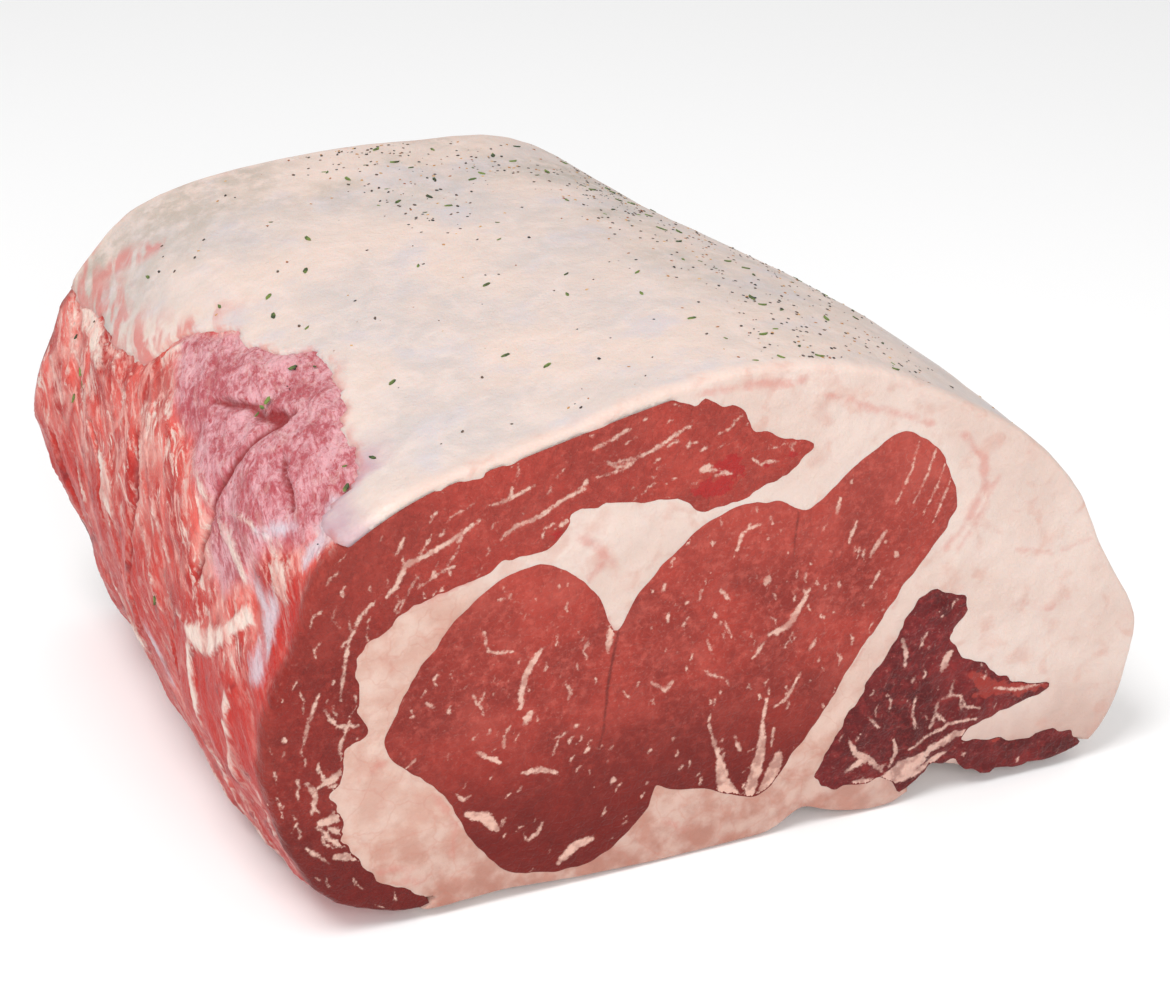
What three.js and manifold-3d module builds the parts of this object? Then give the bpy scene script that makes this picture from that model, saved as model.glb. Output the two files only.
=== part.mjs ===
// Beef rib roast: a raw boneless rib section that lies fat side up, cut square across the grain at both ends.
// Frame: X runs across the cut face, from the lip side (-X) to the chine side (+X). Y runs along the grain,
// from the front cut to the back cut. Z is up, and the roast rests on Z = 0.
// Four pieces run through the roast from cut to cut: the rib eye, the rib cap that bends round it and is bare
// on the lip side, the dark chine muscle, and the fat that covers and parts them. Sizes are in millimetres.
import * as THREE from "three";
import { mergeVertices } from "three/addons/utils/BufferGeometryUtils.js";
import Module from "manifold-3d";

// ---- driving dimensions ----
const LENGTH = 178; // from cut to cut, about four ribs long
const RIM_ROUND = 3; // how far back from a cut the skin takes to reach its full size
const RIM_INSET = 1.6; // how far the skin draws in at the cut itself
const PARTING = 0.3; // gap between a muscle and the fat round it
const MITRE_LIMIT = 3; // how far a sharp corner may move when an outline is widened, in widths of that gap
const SLIVER = 0.02; // facets thinner than this are merged into their neighbours
const OVERRUN = 6; // how far the prisms pass each cut before they are trimmed to it
const SKIN_STEPS = 7; // lengthwise steps in the skin between its two rounded rims
const GRAIN_STEPS = 4; // lengthwise steps in each muscle
const SKIN_SAMPLES = 2; // straight facets between two rows of the section
const MUSCLE_SAMPLES = 2; // straight facets between two points of a muscle's outline

// The skin, anticlockwise seen from the front. Each row follows one line of the skin along the grain:
// x and z at the front cut, x and z at the back cut, and how far the line bows out in x and z between them.
const SKIN = [
  [-100, 10, -112, 9, -4, -4],
  [-87, 5, -98, 3, -1, -3],
  [-76, 4, -84, 0, 0, -6],
  [-60, 5, -66, 0, 0, -7],
  [-40, 3, -46, 0, 0, -5],
  [-20, 2, -28, 0, 0, -4],
  [-3, 0, -12, 0, 0, -1],
  [8, 1, 0, 0, 0, -2],
  [15, 4, 8, 0, 0, -6],
  [22, 9, 15, 0, 0, -10],
  [28, 6, 21, 0, 0, -8],
  [36, 3, 28, 0, 0, -5],
  [48, 2, 38, 0, 0, -4],
  [57, 8, 46, 0, 0, -9],
  [66, 11, 53, 0, 0, -12],
  [73, 5, 60, 1, 0, -7],
  [86, 4, 70, 3, 0, -5],
  [98, 4, 79, 6, 0, -4],
  [107, 6, 86, 12, 1, -4],
  [114, 16, 92, 22, 1, -2],
  [117, 30, 95, 36, 1, 0],
  [118, 42, 94, 47, 1, 0],
  [111, 55, 90, 58, 2, 0],
  [104, 67, 84, 69, 2, 0],
  [98, 81, 76, 80, 1, 0],
  [86, 96, 66, 90, 2, 2],
  [72, 107, 54, 99, 3, 4],
  [55, 117, 42, 108, 3, 5],
  [38, 126, 29, 117, 2, 4],
  [20, 131, 16, 126, 1, 2],
  [2, 133, 1, 131, 0, 1],
  [-18, 131, -17, 132, 0, 0],
  [-36, 127, -36, 133, 0, 0],
  [-56, 122, -58, 132.5, 0, 1],
  [-76, 118, -81, 130, 0, 1],
  [-89, 112, -101, 124, 0, 1],
  [-99, 105, -112, 114, -1, 1],
  [-105, 94, -122, 101, -2, 1],
  [-108, 82, -128, 87, -4, 0],
  [-114, 71, -132, 70, -3, 0],
  [-117, 58, -131, 56, -3, 0],
  [-116, 44, -127, 43, -4, 0],
  [-112, 30, -124, 31, -4, -1],
  [-107, 19, -119, 19, -5, -2],
];
const HEART = { front: [0, 62], back: [-18, 64] }; // the section's middle at each cut

// Outlines of the muscles at the front cut, x and z.
const RIB_EYE = [
  [-30, 71], [-26, 78], [-19, 86], [-8, 95], [3, 99], [13, 98], [20, 94], [29, 101], [39, 108], [46, 111],
  [53, 107], [60, 96], [62, 86], [56, 77], [47, 65], [37, 51], [30, 39], [22, 27], [14, 16], [9, 13],
  [3, 15], [-5, 19], [-14, 21], [-19, 24], [-20, 18], [-27, 11], [-36, 5], [-46, 4.5], [-57, 7], [-63, 13],
  [-69, 22], [-74, 34], [-80, 41], [-87, 47], [-89, 54], [-85, 63], [-79, 73], [-70, 83], [-60, 91],
  [-50, 94], [-42, 90], [-34, 82],
];
// The rib cap passes outside the skin on the lip side, where it is bare.
const RIB_CAP = [
  [21, 111], [12, 104], [2, 101], [-8, 99], [-13, 104], [-22, 105], [-32, 105], [-39, 107], [-43, 102],
  [-47, 97.5], [-55, 97], [-64, 94], [-72, 91], [-80, 89], [-88, 84], [-94, 78], [-95, 70], [-95, 62],
  [-93, 57], [-99, 54], [-99, 48], [-103, 43], [-101, 36], [-100, 27], [-95, 20], [-88, 12], [-80, 7],
  [-77, -4], [-98, -1], [-116, 14], [-124, 32], [-127, 50], [-127, 64], [-121, 78], [-115, 92],
  [-109, 104], [-99, 104.5], [-89, 109.5], [-76, 115.5], [-56, 119.5], [-36, 124.5], [-20, 128.5],
  [-8, 127], [2, 124], [6, 119], [13, 115], [19, 113],
];
// The chine muscle's lower strip passes outside the skin along the underside, where it is bare.
const CHINE_MUSCLE = [
  [54, 63], [50, 58], [46, 50], [40, 41], [35, 33], [31, 25], [27, 18], [25, 14], [31, 9], [40, 9],
  [48, 8], [56, -3], [80, -3], [105, -1], [103, 11], [90, 12], [78, 13.5], [67, 15.5], [76, 20],
  [86, 23], [94, 27], [84, 31], [78, 35], [72, 39], [65, 44], [63, 50], [67, 56], [66, 60], [60, 63],
];

const FAT_CREAM = 0xe3d1c5;
const LEAN_RED = 0xab4e46;
const CAP_RED = 0xa44840;
const CHINE_RED = 0x7b3632;

// ---- the shape of the roast ----
const lerp = THREE.MathUtils.lerp;

// A closed smooth outline through the given points, with a number of straight facets for each.
function smoothOutline(points, samples) {
  const corners = points.map(([x, z]) => new THREE.Vector3(x, z, 0));
  const curve = new THREE.CatmullRomCurve3(corners, true, "centripetal");
  return curve.getPoints(points.length * samples).slice(0, -1);
}

// The section's skin at both cuts and its bow between them, sampled alike.
const skin = {
  front: smoothOutline(SKIN.map((row) => [row[0], row[1]]), SKIN_SAMPLES),
  back: smoothOutline(SKIN.map((row) => [row[2], row[3]]), SKIN_SAMPLES),
  bow: smoothOutline(SKIN.map((row) => [row[4], row[5]]), SKIN_SAMPLES),
};
const skinAngles = skin.front.map((p) => Math.atan2(p.y - HEART.front[1], p.x - HEART.front[0]));

// The bow is nothing at both cuts and whole a third of the way back.
function bowAt(t) {
  return 6.75 * t * (1 - t) * (1 - t);
}

// Where skin sample i lies at depth t, from 0 at the front cut to 1 at the back cut.
function skinPoint(i, t) {
  const point = skin.front[i].clone().lerp(skin.back[i], t);
  return point.addScaledVector(skin.bow[i], bowAt(t));
}

// The two skin samples whose directions from the heart enclose an angle, and the share between them.
function skinSpan(angle) {
  const turn = 2 * Math.PI;
  const count = skinAngles.length;
  for (let i = 0; i < count; i++) {
    const width = (skinAngles[(i + 1) % count] - skinAngles[i] + turn) % turn;
    const past = (angle - skinAngles[i] + turn) % turn;
    if (past <= width && width < Math.PI) return [i, (i + 1) % count, past / width];
  }
  return [0, 1, 0];
}

// Carries a point of the front section along the grain to depth y: it keeps its share of the way from the
// heart to the skin, so the muscles widen, narrow and lean with the roast.
function alongGrain(x, z, y, inset) {
  const t = y / LENGTH;
  const fromHeart = new THREE.Vector3(x - HEART.front[0], z - HEART.front[1], 0);
  const [i, j, share] = skinSpan(Math.atan2(fromHeart.y, fromHeart.x));
  const heart = new THREE.Vector3(...HEART.front, 0);
  const rim = skin.front[i].clone().sub(heart);
  const chord = skin.front[j].clone().sub(heart).sub(rim);
  const reach = (rim.x * chord.y - rim.y * chord.x) / (fromHeart.x * chord.y - fromHeart.y * chord.x);
  const heartHere = heart.clone().lerp(new THREE.Vector3(...HEART.back, 0), t);
  const spoke = skinPoint(i, t).lerp(skinPoint(j, t), share).sub(heartHere);
  spoke.multiplyScalar(1 / reach);
  return heartHere.add(spoke.setLength(spoke.length() - inset));
}

// ---- solids ----
const wasm = await Module();
wasm.setup();

function solidFrom(geometry) {
  geometry.deleteAttribute("normal");
  geometry.deleteAttribute("uv");
  const merged = mergeVertices(geometry, 1e-4);
  const vertProperties = new Float32Array(merged.attributes.position.array);
  const triVerts = new Uint32Array(merged.index.array);
  return new wasm.Manifold(new wasm.Mesh({ numProp: 3, vertProperties, triVerts }));
}

// A prism over a front outline that follows the grain through the given depths. inset tells how far the
// outline draws in at each depth, and floor is the lowest z that it may reach.
function grainPrism(outline, depths, inset, floor) {
  const steps = depths.length - 1;
  const shape = new THREE.Shape(outline.map((p) => new THREE.Vector2(p.x, p.y)));
  const geometry = new THREE.ExtrudeGeometry(shape, { depth: steps, steps, bevelEnabled: false });
  const place = geometry.attributes.position;
  for (let i = 0; i < place.count; i++) {
    // The extrusion runs from the last depth to the first, which keeps its faces pointing out.
    const y = depths[steps - Math.round(place.getZ(i))];
    const settled = alongGrain(place.getX(i), place.getY(i), y, inset(y));
    place.setXYZ(i, settled.x, y, Math.max(settled.y, floor));
  }
  return solidFrom(geometry);
}

// Depths from a to b in equal steps.
function evenDepths(a, b, steps) {
  return Array.from({ length: steps + 1 }, (_, k) => lerp(a, b, k / steps));
}

// The skin draws in along a quarter round at each cut.
function rimInset(y) {
  const fromCut = Math.max(Math.min(y, LENGTH - y), 0) / RIM_ROUND;
  return fromCut < 1 ? RIM_INSET * (1 - Math.sqrt(1 - (1 - fromCut) ** 2)) : 0;
}

// What lies between the two cuts: a block far wider than the roast, cut off flat at both of them.
function betweenCuts() {
  const wide = 3 * LENGTH;
  return solidFrom(new THREE.BoxGeometry(wide, LENGTH, wide).translate(0, LENGTH / 2, 0));
}

function wholeRoast() {
  const rim = [-OVERRUN, 0, RIM_ROUND / 4];
  const middle = evenDepths(RIM_ROUND, LENGTH - RIM_ROUND, SKIN_STEPS);
  const depths = [...rim, ...middle, ...rim.reverse().map((y) => LENGTH - y)];
  // At both cuts the outline is the drawn one, so the full size behind it stands out by the inset.
  const long = grainPrism(skin.front, depths, (y) => rimInset(y) - RIM_INSET, 0);
  return long.intersect(betweenCuts());
}

// An outline moved outwards, so that its facets lie that distance from where they were. At a sharp corner
// the point itself moves further, up to MITRE_LIMIT times the distance.
function grown(outline, distance) {
  const count = outline.length;
  const side = THREE.ShapeUtils.area(outline) > 0 ? 1 : -1;
  return outline.map((point, i) => {
    const before = outline[(i + count - 1) % count];
    const after = outline[(i + 1) % count];
    const facetIn = point.clone().sub(before).normalize();
    const facetOut = after.clone().sub(point).normalize();
    const along = facetIn.clone().add(facetOut).normalize();
    const move = (side * distance) / Math.max(along.dot(facetOut), 1 / MITRE_LIMIT);
    return point.clone().add(new THREE.Vector3(along.y, -along.x, 0).multiplyScalar(move));
  });
}

// A muscle's prism, longer than the roast at both cuts. gap widens it all round.
function muscle(points, gap) {
  const outline = grown(smoothOutline(points, MUSCLE_SAMPLES), gap);
  const depths = evenDepths(-OVERRUN, LENGTH + OVERRUN, GRAIN_STEPS);
  return grainPrism(outline, depths, () => 0, -Infinity);
}

const roast = wholeRoast();
const muscles = {
  rib_eye: { outline: RIB_EYE, color: LEAN_RED },
  rib_cap: { outline: RIB_CAP, color: CAP_RED },
  chine_muscle: { outline: CHINE_MUSCLE, color: CHINE_RED },
};

let fat = roast;
const pieces = [];
for (const [name, { outline, color }] of Object.entries(muscles)) {
  pieces.push({ name, color, solid: roast.intersect(muscle(outline, 0)).simplify(SLIVER) });
  fat = fat.subtract(muscle(outline, PARTING));
}
pieces.push({ name: "fat", color: FAT_CREAM, solid: fat.simplify(SLIVER) });

// ---- the group ----
function meshOf({ name, color, solid }) {
  const { numProp, vertProperties, triVerts } = solid.getMesh();
  const geometry = new THREE.BufferGeometry();
  geometry.setAttribute("position", new THREE.BufferAttribute(vertProperties, numProp));
  geometry.setIndex(new THREE.BufferAttribute(triVerts, 1));
  const mesh = new THREE.Mesh(geometry, new THREE.MeshStandardMaterial({ color, roughness: 0.5 }));
  mesh.name = name;
  return mesh;
}

// The origin goes to the middle of the underside.
const group = new THREE.Group();
pieces.forEach((piece) => group.add(meshOf(piece)));
const box = new THREE.Box3().setFromObject(group);
const middle = box.getCenter(new THREE.Vector3());
group.position.set(-middle.x, -middle.y, -box.min.z);

export default group;
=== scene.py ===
# %% [markdown]
# # A raw beef rib roast
# A butcher's joint is a bundle of muscles that run along the backbone, parted and wrapped by fat. A cut
# across the grain shows them all at once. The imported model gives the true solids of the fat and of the
# three muscles, and this lesson turns them into meat: torn, marbled, soft and moist.

import math

import bmesh
import bpy
import numpy as np
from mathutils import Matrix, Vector
from mathutils.bvhtree import BVHTree
from mathutils.geometry import delaunay_2d_cdt


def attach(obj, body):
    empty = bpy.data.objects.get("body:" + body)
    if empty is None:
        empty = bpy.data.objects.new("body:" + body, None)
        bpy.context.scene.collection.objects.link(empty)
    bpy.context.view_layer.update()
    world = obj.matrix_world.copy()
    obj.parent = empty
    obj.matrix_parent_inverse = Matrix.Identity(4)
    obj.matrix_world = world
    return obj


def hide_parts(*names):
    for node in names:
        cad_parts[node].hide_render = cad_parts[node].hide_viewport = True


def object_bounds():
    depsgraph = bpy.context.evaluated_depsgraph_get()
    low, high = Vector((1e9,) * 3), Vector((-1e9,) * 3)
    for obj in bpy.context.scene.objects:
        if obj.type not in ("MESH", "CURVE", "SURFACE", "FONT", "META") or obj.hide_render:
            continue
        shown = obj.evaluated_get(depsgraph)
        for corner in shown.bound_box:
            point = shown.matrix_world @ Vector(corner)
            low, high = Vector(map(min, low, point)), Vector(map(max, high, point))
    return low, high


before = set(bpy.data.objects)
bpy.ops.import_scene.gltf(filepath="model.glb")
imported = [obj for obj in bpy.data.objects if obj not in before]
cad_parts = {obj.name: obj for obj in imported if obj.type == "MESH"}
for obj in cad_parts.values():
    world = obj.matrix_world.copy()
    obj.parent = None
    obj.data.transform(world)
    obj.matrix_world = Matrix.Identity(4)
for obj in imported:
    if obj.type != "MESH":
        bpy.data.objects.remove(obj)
cad_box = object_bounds()
MM = 0.001  # the lesson works in millimetres, and meshes are stored in metres
low, high = (np.array(corner) / MM for corner in cad_box)
FRONT, BACK = low[1], high[1]
LENGTH = BACK - FRONT


def new_object(name, data):
    """An object in the scene that shows the data."""
    thing = bpy.data.objects.new(name, data)
    bpy.context.scene.collection.objects.link(thing)
    return thing


print("roast", (high - low).round(1), "mm, cuts at", FRONT, BACK)

# %% [markdown]
# ## The camera
# A long lens from the front left, a little above, shows the cut face and the bare lip side together.
# The aim is on the plane of the front cut, so that the face keeps its scale whatever the length.

# %% Camera
AZIMUTH, ELEVATION = math.radians(-22), math.radians(28)
DISTANCE = 0.6024
FOCAL_LENGTH = 80
aim = Vector((-30.9, FRONT, 108.8)) * MM
towards = Vector((
    math.sin(AZIMUTH) * math.cos(ELEVATION),
    -math.cos(AZIMUTH) * math.cos(ELEVATION),
    math.sin(ELEVATION),
))
camera = new_object("camera", bpy.data.cameras.new("camera"))
camera.data.lens = FOCAL_LENGTH
camera.data.sensor_width = 36
camera.data.clip_start = 0.01
camera.location = aim + towards * DISTANCE
camera.rotation_euler = towards.to_track_quat("Z", "Y").to_euler()
bpy.context.scene.camera = camera
print("camera at", camera.location.to_tuple(3))

# %% [markdown]
# ## Noise
# Meat has no straight line in it. Every surface here is moved by smooth noise: random values on a grid of
# cells, blended between the cells. Layers of finer and finer noise give big dips and small ones together.


# %% Noise in millimetres
def cell_value(cell, seed):
    """A steady pseudo-random number from 0 to 1 for each whole-numbered cell. Large primes scatter it."""
    mixed = cell[:, 0] * 73856093 ^ cell[:, 1] * 19349663 ^ cell[:, 2] * 83492791 ^ seed * 6542989
    mixed = (mixed ^ (mixed >> 13)) * 1274126177
    return ((mixed ^ (mixed >> 16)) & 0xFFFF) / 65535


def noise(points, size, seed):
    """Smooth noise from -1 to 1, with bumps about one size across."""
    scaled = points / size
    cell = np.floor(scaled).astype(np.int64)
    part = scaled - cell
    part = part * part * (3 - 2 * part)
    total = np.zeros(len(points))
    for corner in np.ndindex(2, 2, 2):
        weight = np.prod(np.where(corner, part, 1 - part), axis=1)
        total += weight * cell_value(cell + corner, seed)
    return 2 * total - 1


def layered(points, size, layers, seed):
    """Noise plus finer noise of half the height and half the size, again and again."""
    total = sum(noise(points, size / 2**k, seed + k) / 2**k for k in range(layers))
    return total / (2 - 2 ** (1 - layers))


def step_between(low_edge, high_edge, value):
    """Rises smoothly from 0 at one edge to 1 at the other."""
    part = np.clip((value - low_edge) / (high_edge - low_edge), 0, 1)
    return part * part * (3 - 2 * part)


def mix(a, b, share):
    return a + (b - a) * share


# %% [markdown]
# ## The skin of the roast
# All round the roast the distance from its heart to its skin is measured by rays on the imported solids. That
# gives one smooth table of radius by angle and depth. Each piece is then drawn by its height above or below
# this table, so that fat can thin out over lean without any gap.

# %% Measure the skin
HEART_FRONT = np.array([7.0, 62.0])  # x and z of the middle of the section at the front cut
HEART_BACK = np.array([-11.0, 64.0])
RIM_ROUND, RIM_INSET = 3.0, 1.6  # how the skin draws in towards a cut
ANGLE_STEP = 0.5
DEPTH_STEP = 2.0
angles = np.arange(0, 360, ANGLE_STEP)
depths = np.arange(FRONT + RIM_ROUND + 0.5, BACK - RIM_ROUND, DEPTH_STEP)


def heart(y):
    """x and z of the middle of the section at each depth."""
    share = (np.asarray(y)[..., None] - FRONT) / LENGTH
    return mix(HEART_FRONT, HEART_BACK, share)


def packed_tree():
    corners, faces = [], []
    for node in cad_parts.values():
        first = len(corners)
        corners += [v.co / MM for v in node.data.vertices]
        faces += [[first + i for i in face.vertices] for face in node.data.polygons]
    return BVHTree.FromPolygons(corners, faces)


def blurred(table, spread, axis):
    """A table smoothed along one axis. Angles wrap round, and depths run on flat at the ends."""
    reach = int(3 * spread + 1)
    weights = np.exp(-0.5 * (np.arange(-reach, reach + 1) / spread) ** 2)
    pad = [(0, 0), (0, 0)]
    pad[axis] = (reach, reach)
    wide = np.pad(table, pad, mode="wrap" if axis == 0 else "edge")
    count = table.shape[axis]
    shifted = [w * np.take(wide, range(k, k + count), axis) for k, w in enumerate(weights)]
    return sum(shifted) / weights.sum()


def measured_skin():
    tree = packed_tree()
    table = np.zeros((len(angles), len(depths)))
    start = 300.0
    for j, y in enumerate(depths):
        x, z = heart(y)
        for i, angle in enumerate(np.radians(angles)):
            out = Vector((math.cos(angle), 0, math.sin(angle)))
            hit = tree.ray_cast(Vector((x, y, z)) + out * start, -out)
            table[i, j] = start - hit[3]
    # The parting lines between the solids are slits: a middle value of five neighbours passes over them.
    table = np.median([np.roll(table, k, 0) for k in range(-2, 3)], axis=0)
    return blurred(blurred(table, 1.6, 0), 1.5, 1)


skin_table = measured_skin()
print("skin radius", skin_table.min().round(1), "to", skin_table.max().round(1), "mm")


# %% Read the skin
def from_cut(y):
    """Distance to the nearer cut."""
    return np.minimum(y - FRONT, BACK - y)


def skin_radius(angle, y):
    """Distance from the heart to the skin, at an angle in degrees and a depth, rounded in at both cuts."""
    a = (np.asarray(angle) % 360) / ANGLE_STEP
    d = np.clip((np.asarray(y) - depths[0]) / DEPTH_STEP, 0, len(depths) - 1.001)
    i, j = np.floor(a).astype(int) % len(angles), np.floor(d).astype(int)
    next_i = (i + 1) % len(angles)
    a, d = a - np.floor(a), d - j
    near = mix(skin_table[i, j], skin_table[next_i, j], a)
    far = mix(skin_table[i, j + 1], skin_table[next_i, j + 1], a)
    inward = np.clip(from_cut(y) / RIM_ROUND, 0, 1)
    return mix(near, far, d) - RIM_INSET * (1 - np.sqrt(1 - (1 - inward) ** 2))


def polar(points, y):
    """Angle in degrees and distance from the heart, of points given as x and z."""
    out = points - heart(y)
    return np.degrees(np.arctan2(out[..., 1], out[..., 0])) % 360, np.hypot(out[..., 0], out[..., 1])


def around(points):
    """Angle and distance from the heart, of points in space."""
    return polar(points[..., [0, 2]], points[..., 1])


def from_polar(angle, radius, y):
    """Points in space from angle, distance from the heart and depth."""
    middle = heart(y)
    turn = np.radians(angle)
    x = middle[..., 0] + radius * np.cos(turn)
    z = middle[..., 1] + radius * np.sin(turn)
    return np.stack([x, y + 0 * x, z], axis=-1)


def on_skin(angle, y):
    """Points on the skin."""
    return from_polar(angle, skin_radius(angle, y), y)


# %% [markdown]
# ## Where the lean is bare
# The fat cap ends in a ragged edge along the lip side's shoulder, and below that edge the muscle is bare.
# The edge is a line of angle by depth, given as a table and then torn by noise. On the underside, a strip of
# the chine muscle is bare too. How far a point lies inside a bare place is all that the pieces need to know.

# %% Bare places
CAP_EDGE_DEPTH = [0, 13, 15, 20, 27, 46, 55, 63, 71, 76, 86, 95, 102, 110, 116, 135, 152, 170, 178]
CAP_EDGE_ANGLE = [155, 154, 149, 147, 146, 143, 142, 140, 140, 144, 146, 146, 148, 151, 157, 159, 158,
                  159, 158]
LIP_FOOT = [216, 223]  # where the bare lip side ends below, at the front and back cuts
CHINE_STRIP = [314, 332]  # the bare strip on the underside
STRIP_REACH = (CHINE_STRIP[1] - CHINE_STRIP[0]) / 2


def bare_depth(angle, y, points):
    """Millimetres inside a bare place; below nought on fat."""
    along = y - FRONT
    per_degree = skin_radius(angle, y) * math.pi / 180
    edge = np.interp(along, CAP_EDGE_DEPTH, CAP_EDGE_ANGLE)
    torn = 1.7 * layered(points, 9, 3, 11) + 1.1 * noise(points, 2.6, 15)
    calm_front = step_between(0, 12, along)
    top = (angle - edge) * per_degree + torn * mix(0.4, 1, calm_front)
    foot = (mix(*LIP_FOOT, along / LENGTH) - angle) * per_degree + torn
    strip = (STRIP_REACH - np.abs(angle - np.mean(CHINE_STRIP))) * per_degree + torn
    return np.maximum(np.minimum(top, foot), strip)


# %% [markdown]
# ## Relief
# Fat sets in soft, shallow dimples. Torn lean is rough: long bundles of fibre lie side by side, with cracks
# between them. The fibres on the lip side run from the back of the shoulder down to the front, so their
# noise is stretched along that line.

# %% Relief of fat and of bare lean
FIBRE_LINE = np.array([0.0, -0.62, -0.78])
TURN = 2.0  # millimetres of skin in one degree, near enough, on the lip side
# Cracks: width in millimetres, then points as angle in degrees and millimetres from the front cut.
CRACKS = [
    (4.0, (150, 59), (149.5, 51)),
    (2.6, (148, 52), (150, 51), (153, 53), (156, 51), (161, 51), (164, 50), (168, 51), (172, 49)),
    (1.8, (154, 78), (151, 66), (151, 58)),
    (1.4, (152, 39), (154, 30), (156, 23)),
    (2.2, (166, 105), (172, 94), (180, 89), (187, 84)),
    (2.0, (170, 134), (175, 122), (181, 116)),
    (1.6, (182, 60), (188, 52), (196, 47)),
    (1.6, (178, 160), (185, 150), (192, 148)),
]
# Strands of fat that lie on the bare lean, in the same measure.
STRANDS = [
    (1.6, (160, 70), (161, 60), (163, 51), (166, 44)),
    (1.8, (155, 110), (153, 107), (150, 106)),
    (1.3, (170, 82), (172, 72), (174, 64)),
    (7.0, (178, 47), (177, 36), (174, 28)),
    (6.0, (174, 30), (170, 22), (170, 19)),
    (4.5, (178, 46), (182, 43), (185, 38), (188, 36)),
    (3.0, (179, 19), (182, 19), (187, 19), (191, 16)),
    (3.4, (192, 40), (198, 41), (204, 36), (210, 33)),
    (6.5, (173, 126), (174, 115), (177, 107)),
    (1.8, (185, 91), (190, 90), (196, 84)),
    (4.0, (190, 122), (192, 110), (198, 100)),
    (6.0, (162, 17), (164, 10)),
    (1.2, (157, 137), (161, 130), (163, 116), (167, 114)),
    (1.0, (172, 92), (176, 77), (180, 70), (181, 55)),
    (0.9, (175, 73), (178, 61), (178, 51)),
    (1.3, (164, 158), (167, 140), (172, 134)),
    (1.2, (170, 117), (176, 118), (179, 109)),
    (0.8, (162, 46), (160, 33), (160, 22)),
    (1.6, (165, 104), (167, 96), (170, 86)),
    (2.0, (160, 172), (163, 160), (169, 155)),
    (1.2, (176, 150), (180, 138), (187, 132)),
    (2.6, (186, 170), (190, 155), (197, 150)),
    (1.4, (185, 14), (190, 8), (196, 6)),
    (2.2, (200, 60), (204, 50), (208, 44)),
    (6.0, (159, 165), (160, 150), (163, 137)),
    (4.5, (163, 44), (164, 35), (166, 27)),
    (1.6, (196, 26), (202, 18), (208, 14)),
]


OUTSIDE = -4.0  # the depth given to points well outside every stroke


def stroke_depth(points, strokes, blunt):
    """How deep each point lies inside the nearest stroke, in millimetres. A stroke is a width and then the
    points of a bent line, and it narrows towards its ends to blunt times its width."""
    best = np.full(len(points), OUTSIDE)
    for width, *bends in strokes:
        bends = np.array(bends, float)
        length = len(bends) - 1
        for k, (a, b) in enumerate(zip(bends[:-1], bends[1:])):
            side = b - a
            share = np.clip((points - a) @ side / (side @ side), 0, 1)
            distance = np.hypot(*(points - a - share[:, None] * side).T)
            way = (k + share) / length
            half = width / 2 * (blunt + (1 - blunt) * np.sin(math.pi * np.clip(way, 0.04, 0.96)) ** 0.6)
            best = np.maximum(best, half - distance)
    return best


def unrolled(strokes):
    """Strokes given by angle and depth, laid out flat in millimetres."""
    return [(width, *[(a * TURN, d) for a, d in bends]) for width, *bends in strokes]


def laid_flat(angle, y, points, wander):
    """Skin points laid out flat as turn and depth, wandering a little so that outlines come out torn."""
    turn = angle * TURN + wander * layered(points, 7, 3, 51)
    depth = y - FRONT + wander * layered(points, 7, 3, 55)
    return np.stack([turn, depth + 0 * turn], axis=-1)


def stretched(points, line, times):
    """Points squeezed along a line, so that noise on them comes out that many times longer."""
    along = points @ line
    return points - np.outer(along * (1 - 1 / times), line)


def fat_relief(points):
    pits = np.clip(noise(points, 3.4, 33) - 0.62, 0, 1)
    return 0.55 * layered(points, 26, 3, 21) + 0.16 * layered(points, 5, 2, 25) - 0.9 * pits


def lean_relief(angle, y, points):
    fibres = stretched(points, FIBRE_LINE, 5)
    ridges = 1 - np.abs(layered(fibres, 7, 3, 41))
    swell = layered(points, 26, 2, 45)
    crack = step_between(-1.6, 1.0, stroke_depth(laid_flat(angle, y, points, 1.2), unrolled(CRACKS), 0.4))
    strand = step_between(-0.8, 0.8, stroke_depth(laid_flat(angle, y, points, 1.6), unrolled(STRANDS), 0.35))
    lumps = np.maximum(layered(points, 14, 2, 49), -0.2)
    height = 1.8 * (ridges - 0.8) + 2.6 * swell + 1.3 * lumps + 0.25 * noise(fibres, 1.3, 47)
    return height + 0.7 * strand - 2.0 * crack


# %% [markdown]
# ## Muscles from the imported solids
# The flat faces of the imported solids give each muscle's outline at both cuts. Both outlines are walked with
# the same number of steps, so that a ring at any depth is a blend of the two. Where a muscle lies close
# under the skin, its ring follows the skin instead, at the depth of the fat over it.


# %% Outlines at the cuts
def cut_outline(node, y):
    """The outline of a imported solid's flat face, as x and z, anticlockwise from its rightmost point."""
    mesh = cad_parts[node].data
    place = np.array([v.co for v in mesh.vertices]) / MM
    spots, same = np.unique(place.round(2), axis=0, return_inverse=True)
    same = same.reshape(-1)
    sides = set()
    for face in mesh.polygons:
        corners = same[list(face.vertices)]
        if np.abs(spots[corners, 1] - y).max() < 0.05:
            sides |= {(a, b) for a, b in zip(corners, np.roll(corners, -1)) if a != b}
    following = {a: b for a, b in sides if (b, a) not in sides}
    loops = []
    while following:
        first, here = following.popitem()
        loop = [first]
        while here in following:
            loop.append(here)
            here = following.pop(here)
        loops.append(spots[loop][:, [0, 2]])
    outline = max(loops, key=lambda p: np.hypot(*(p - np.roll(p, 1, 0)).T).sum())
    x, z = outline.T
    if (x * np.roll(z, -1) - np.roll(x, -1) * z).sum() < 0:
        outline = outline[::-1]
    return np.roll(outline, -outline[:, 0].argmax(), axis=0)


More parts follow.
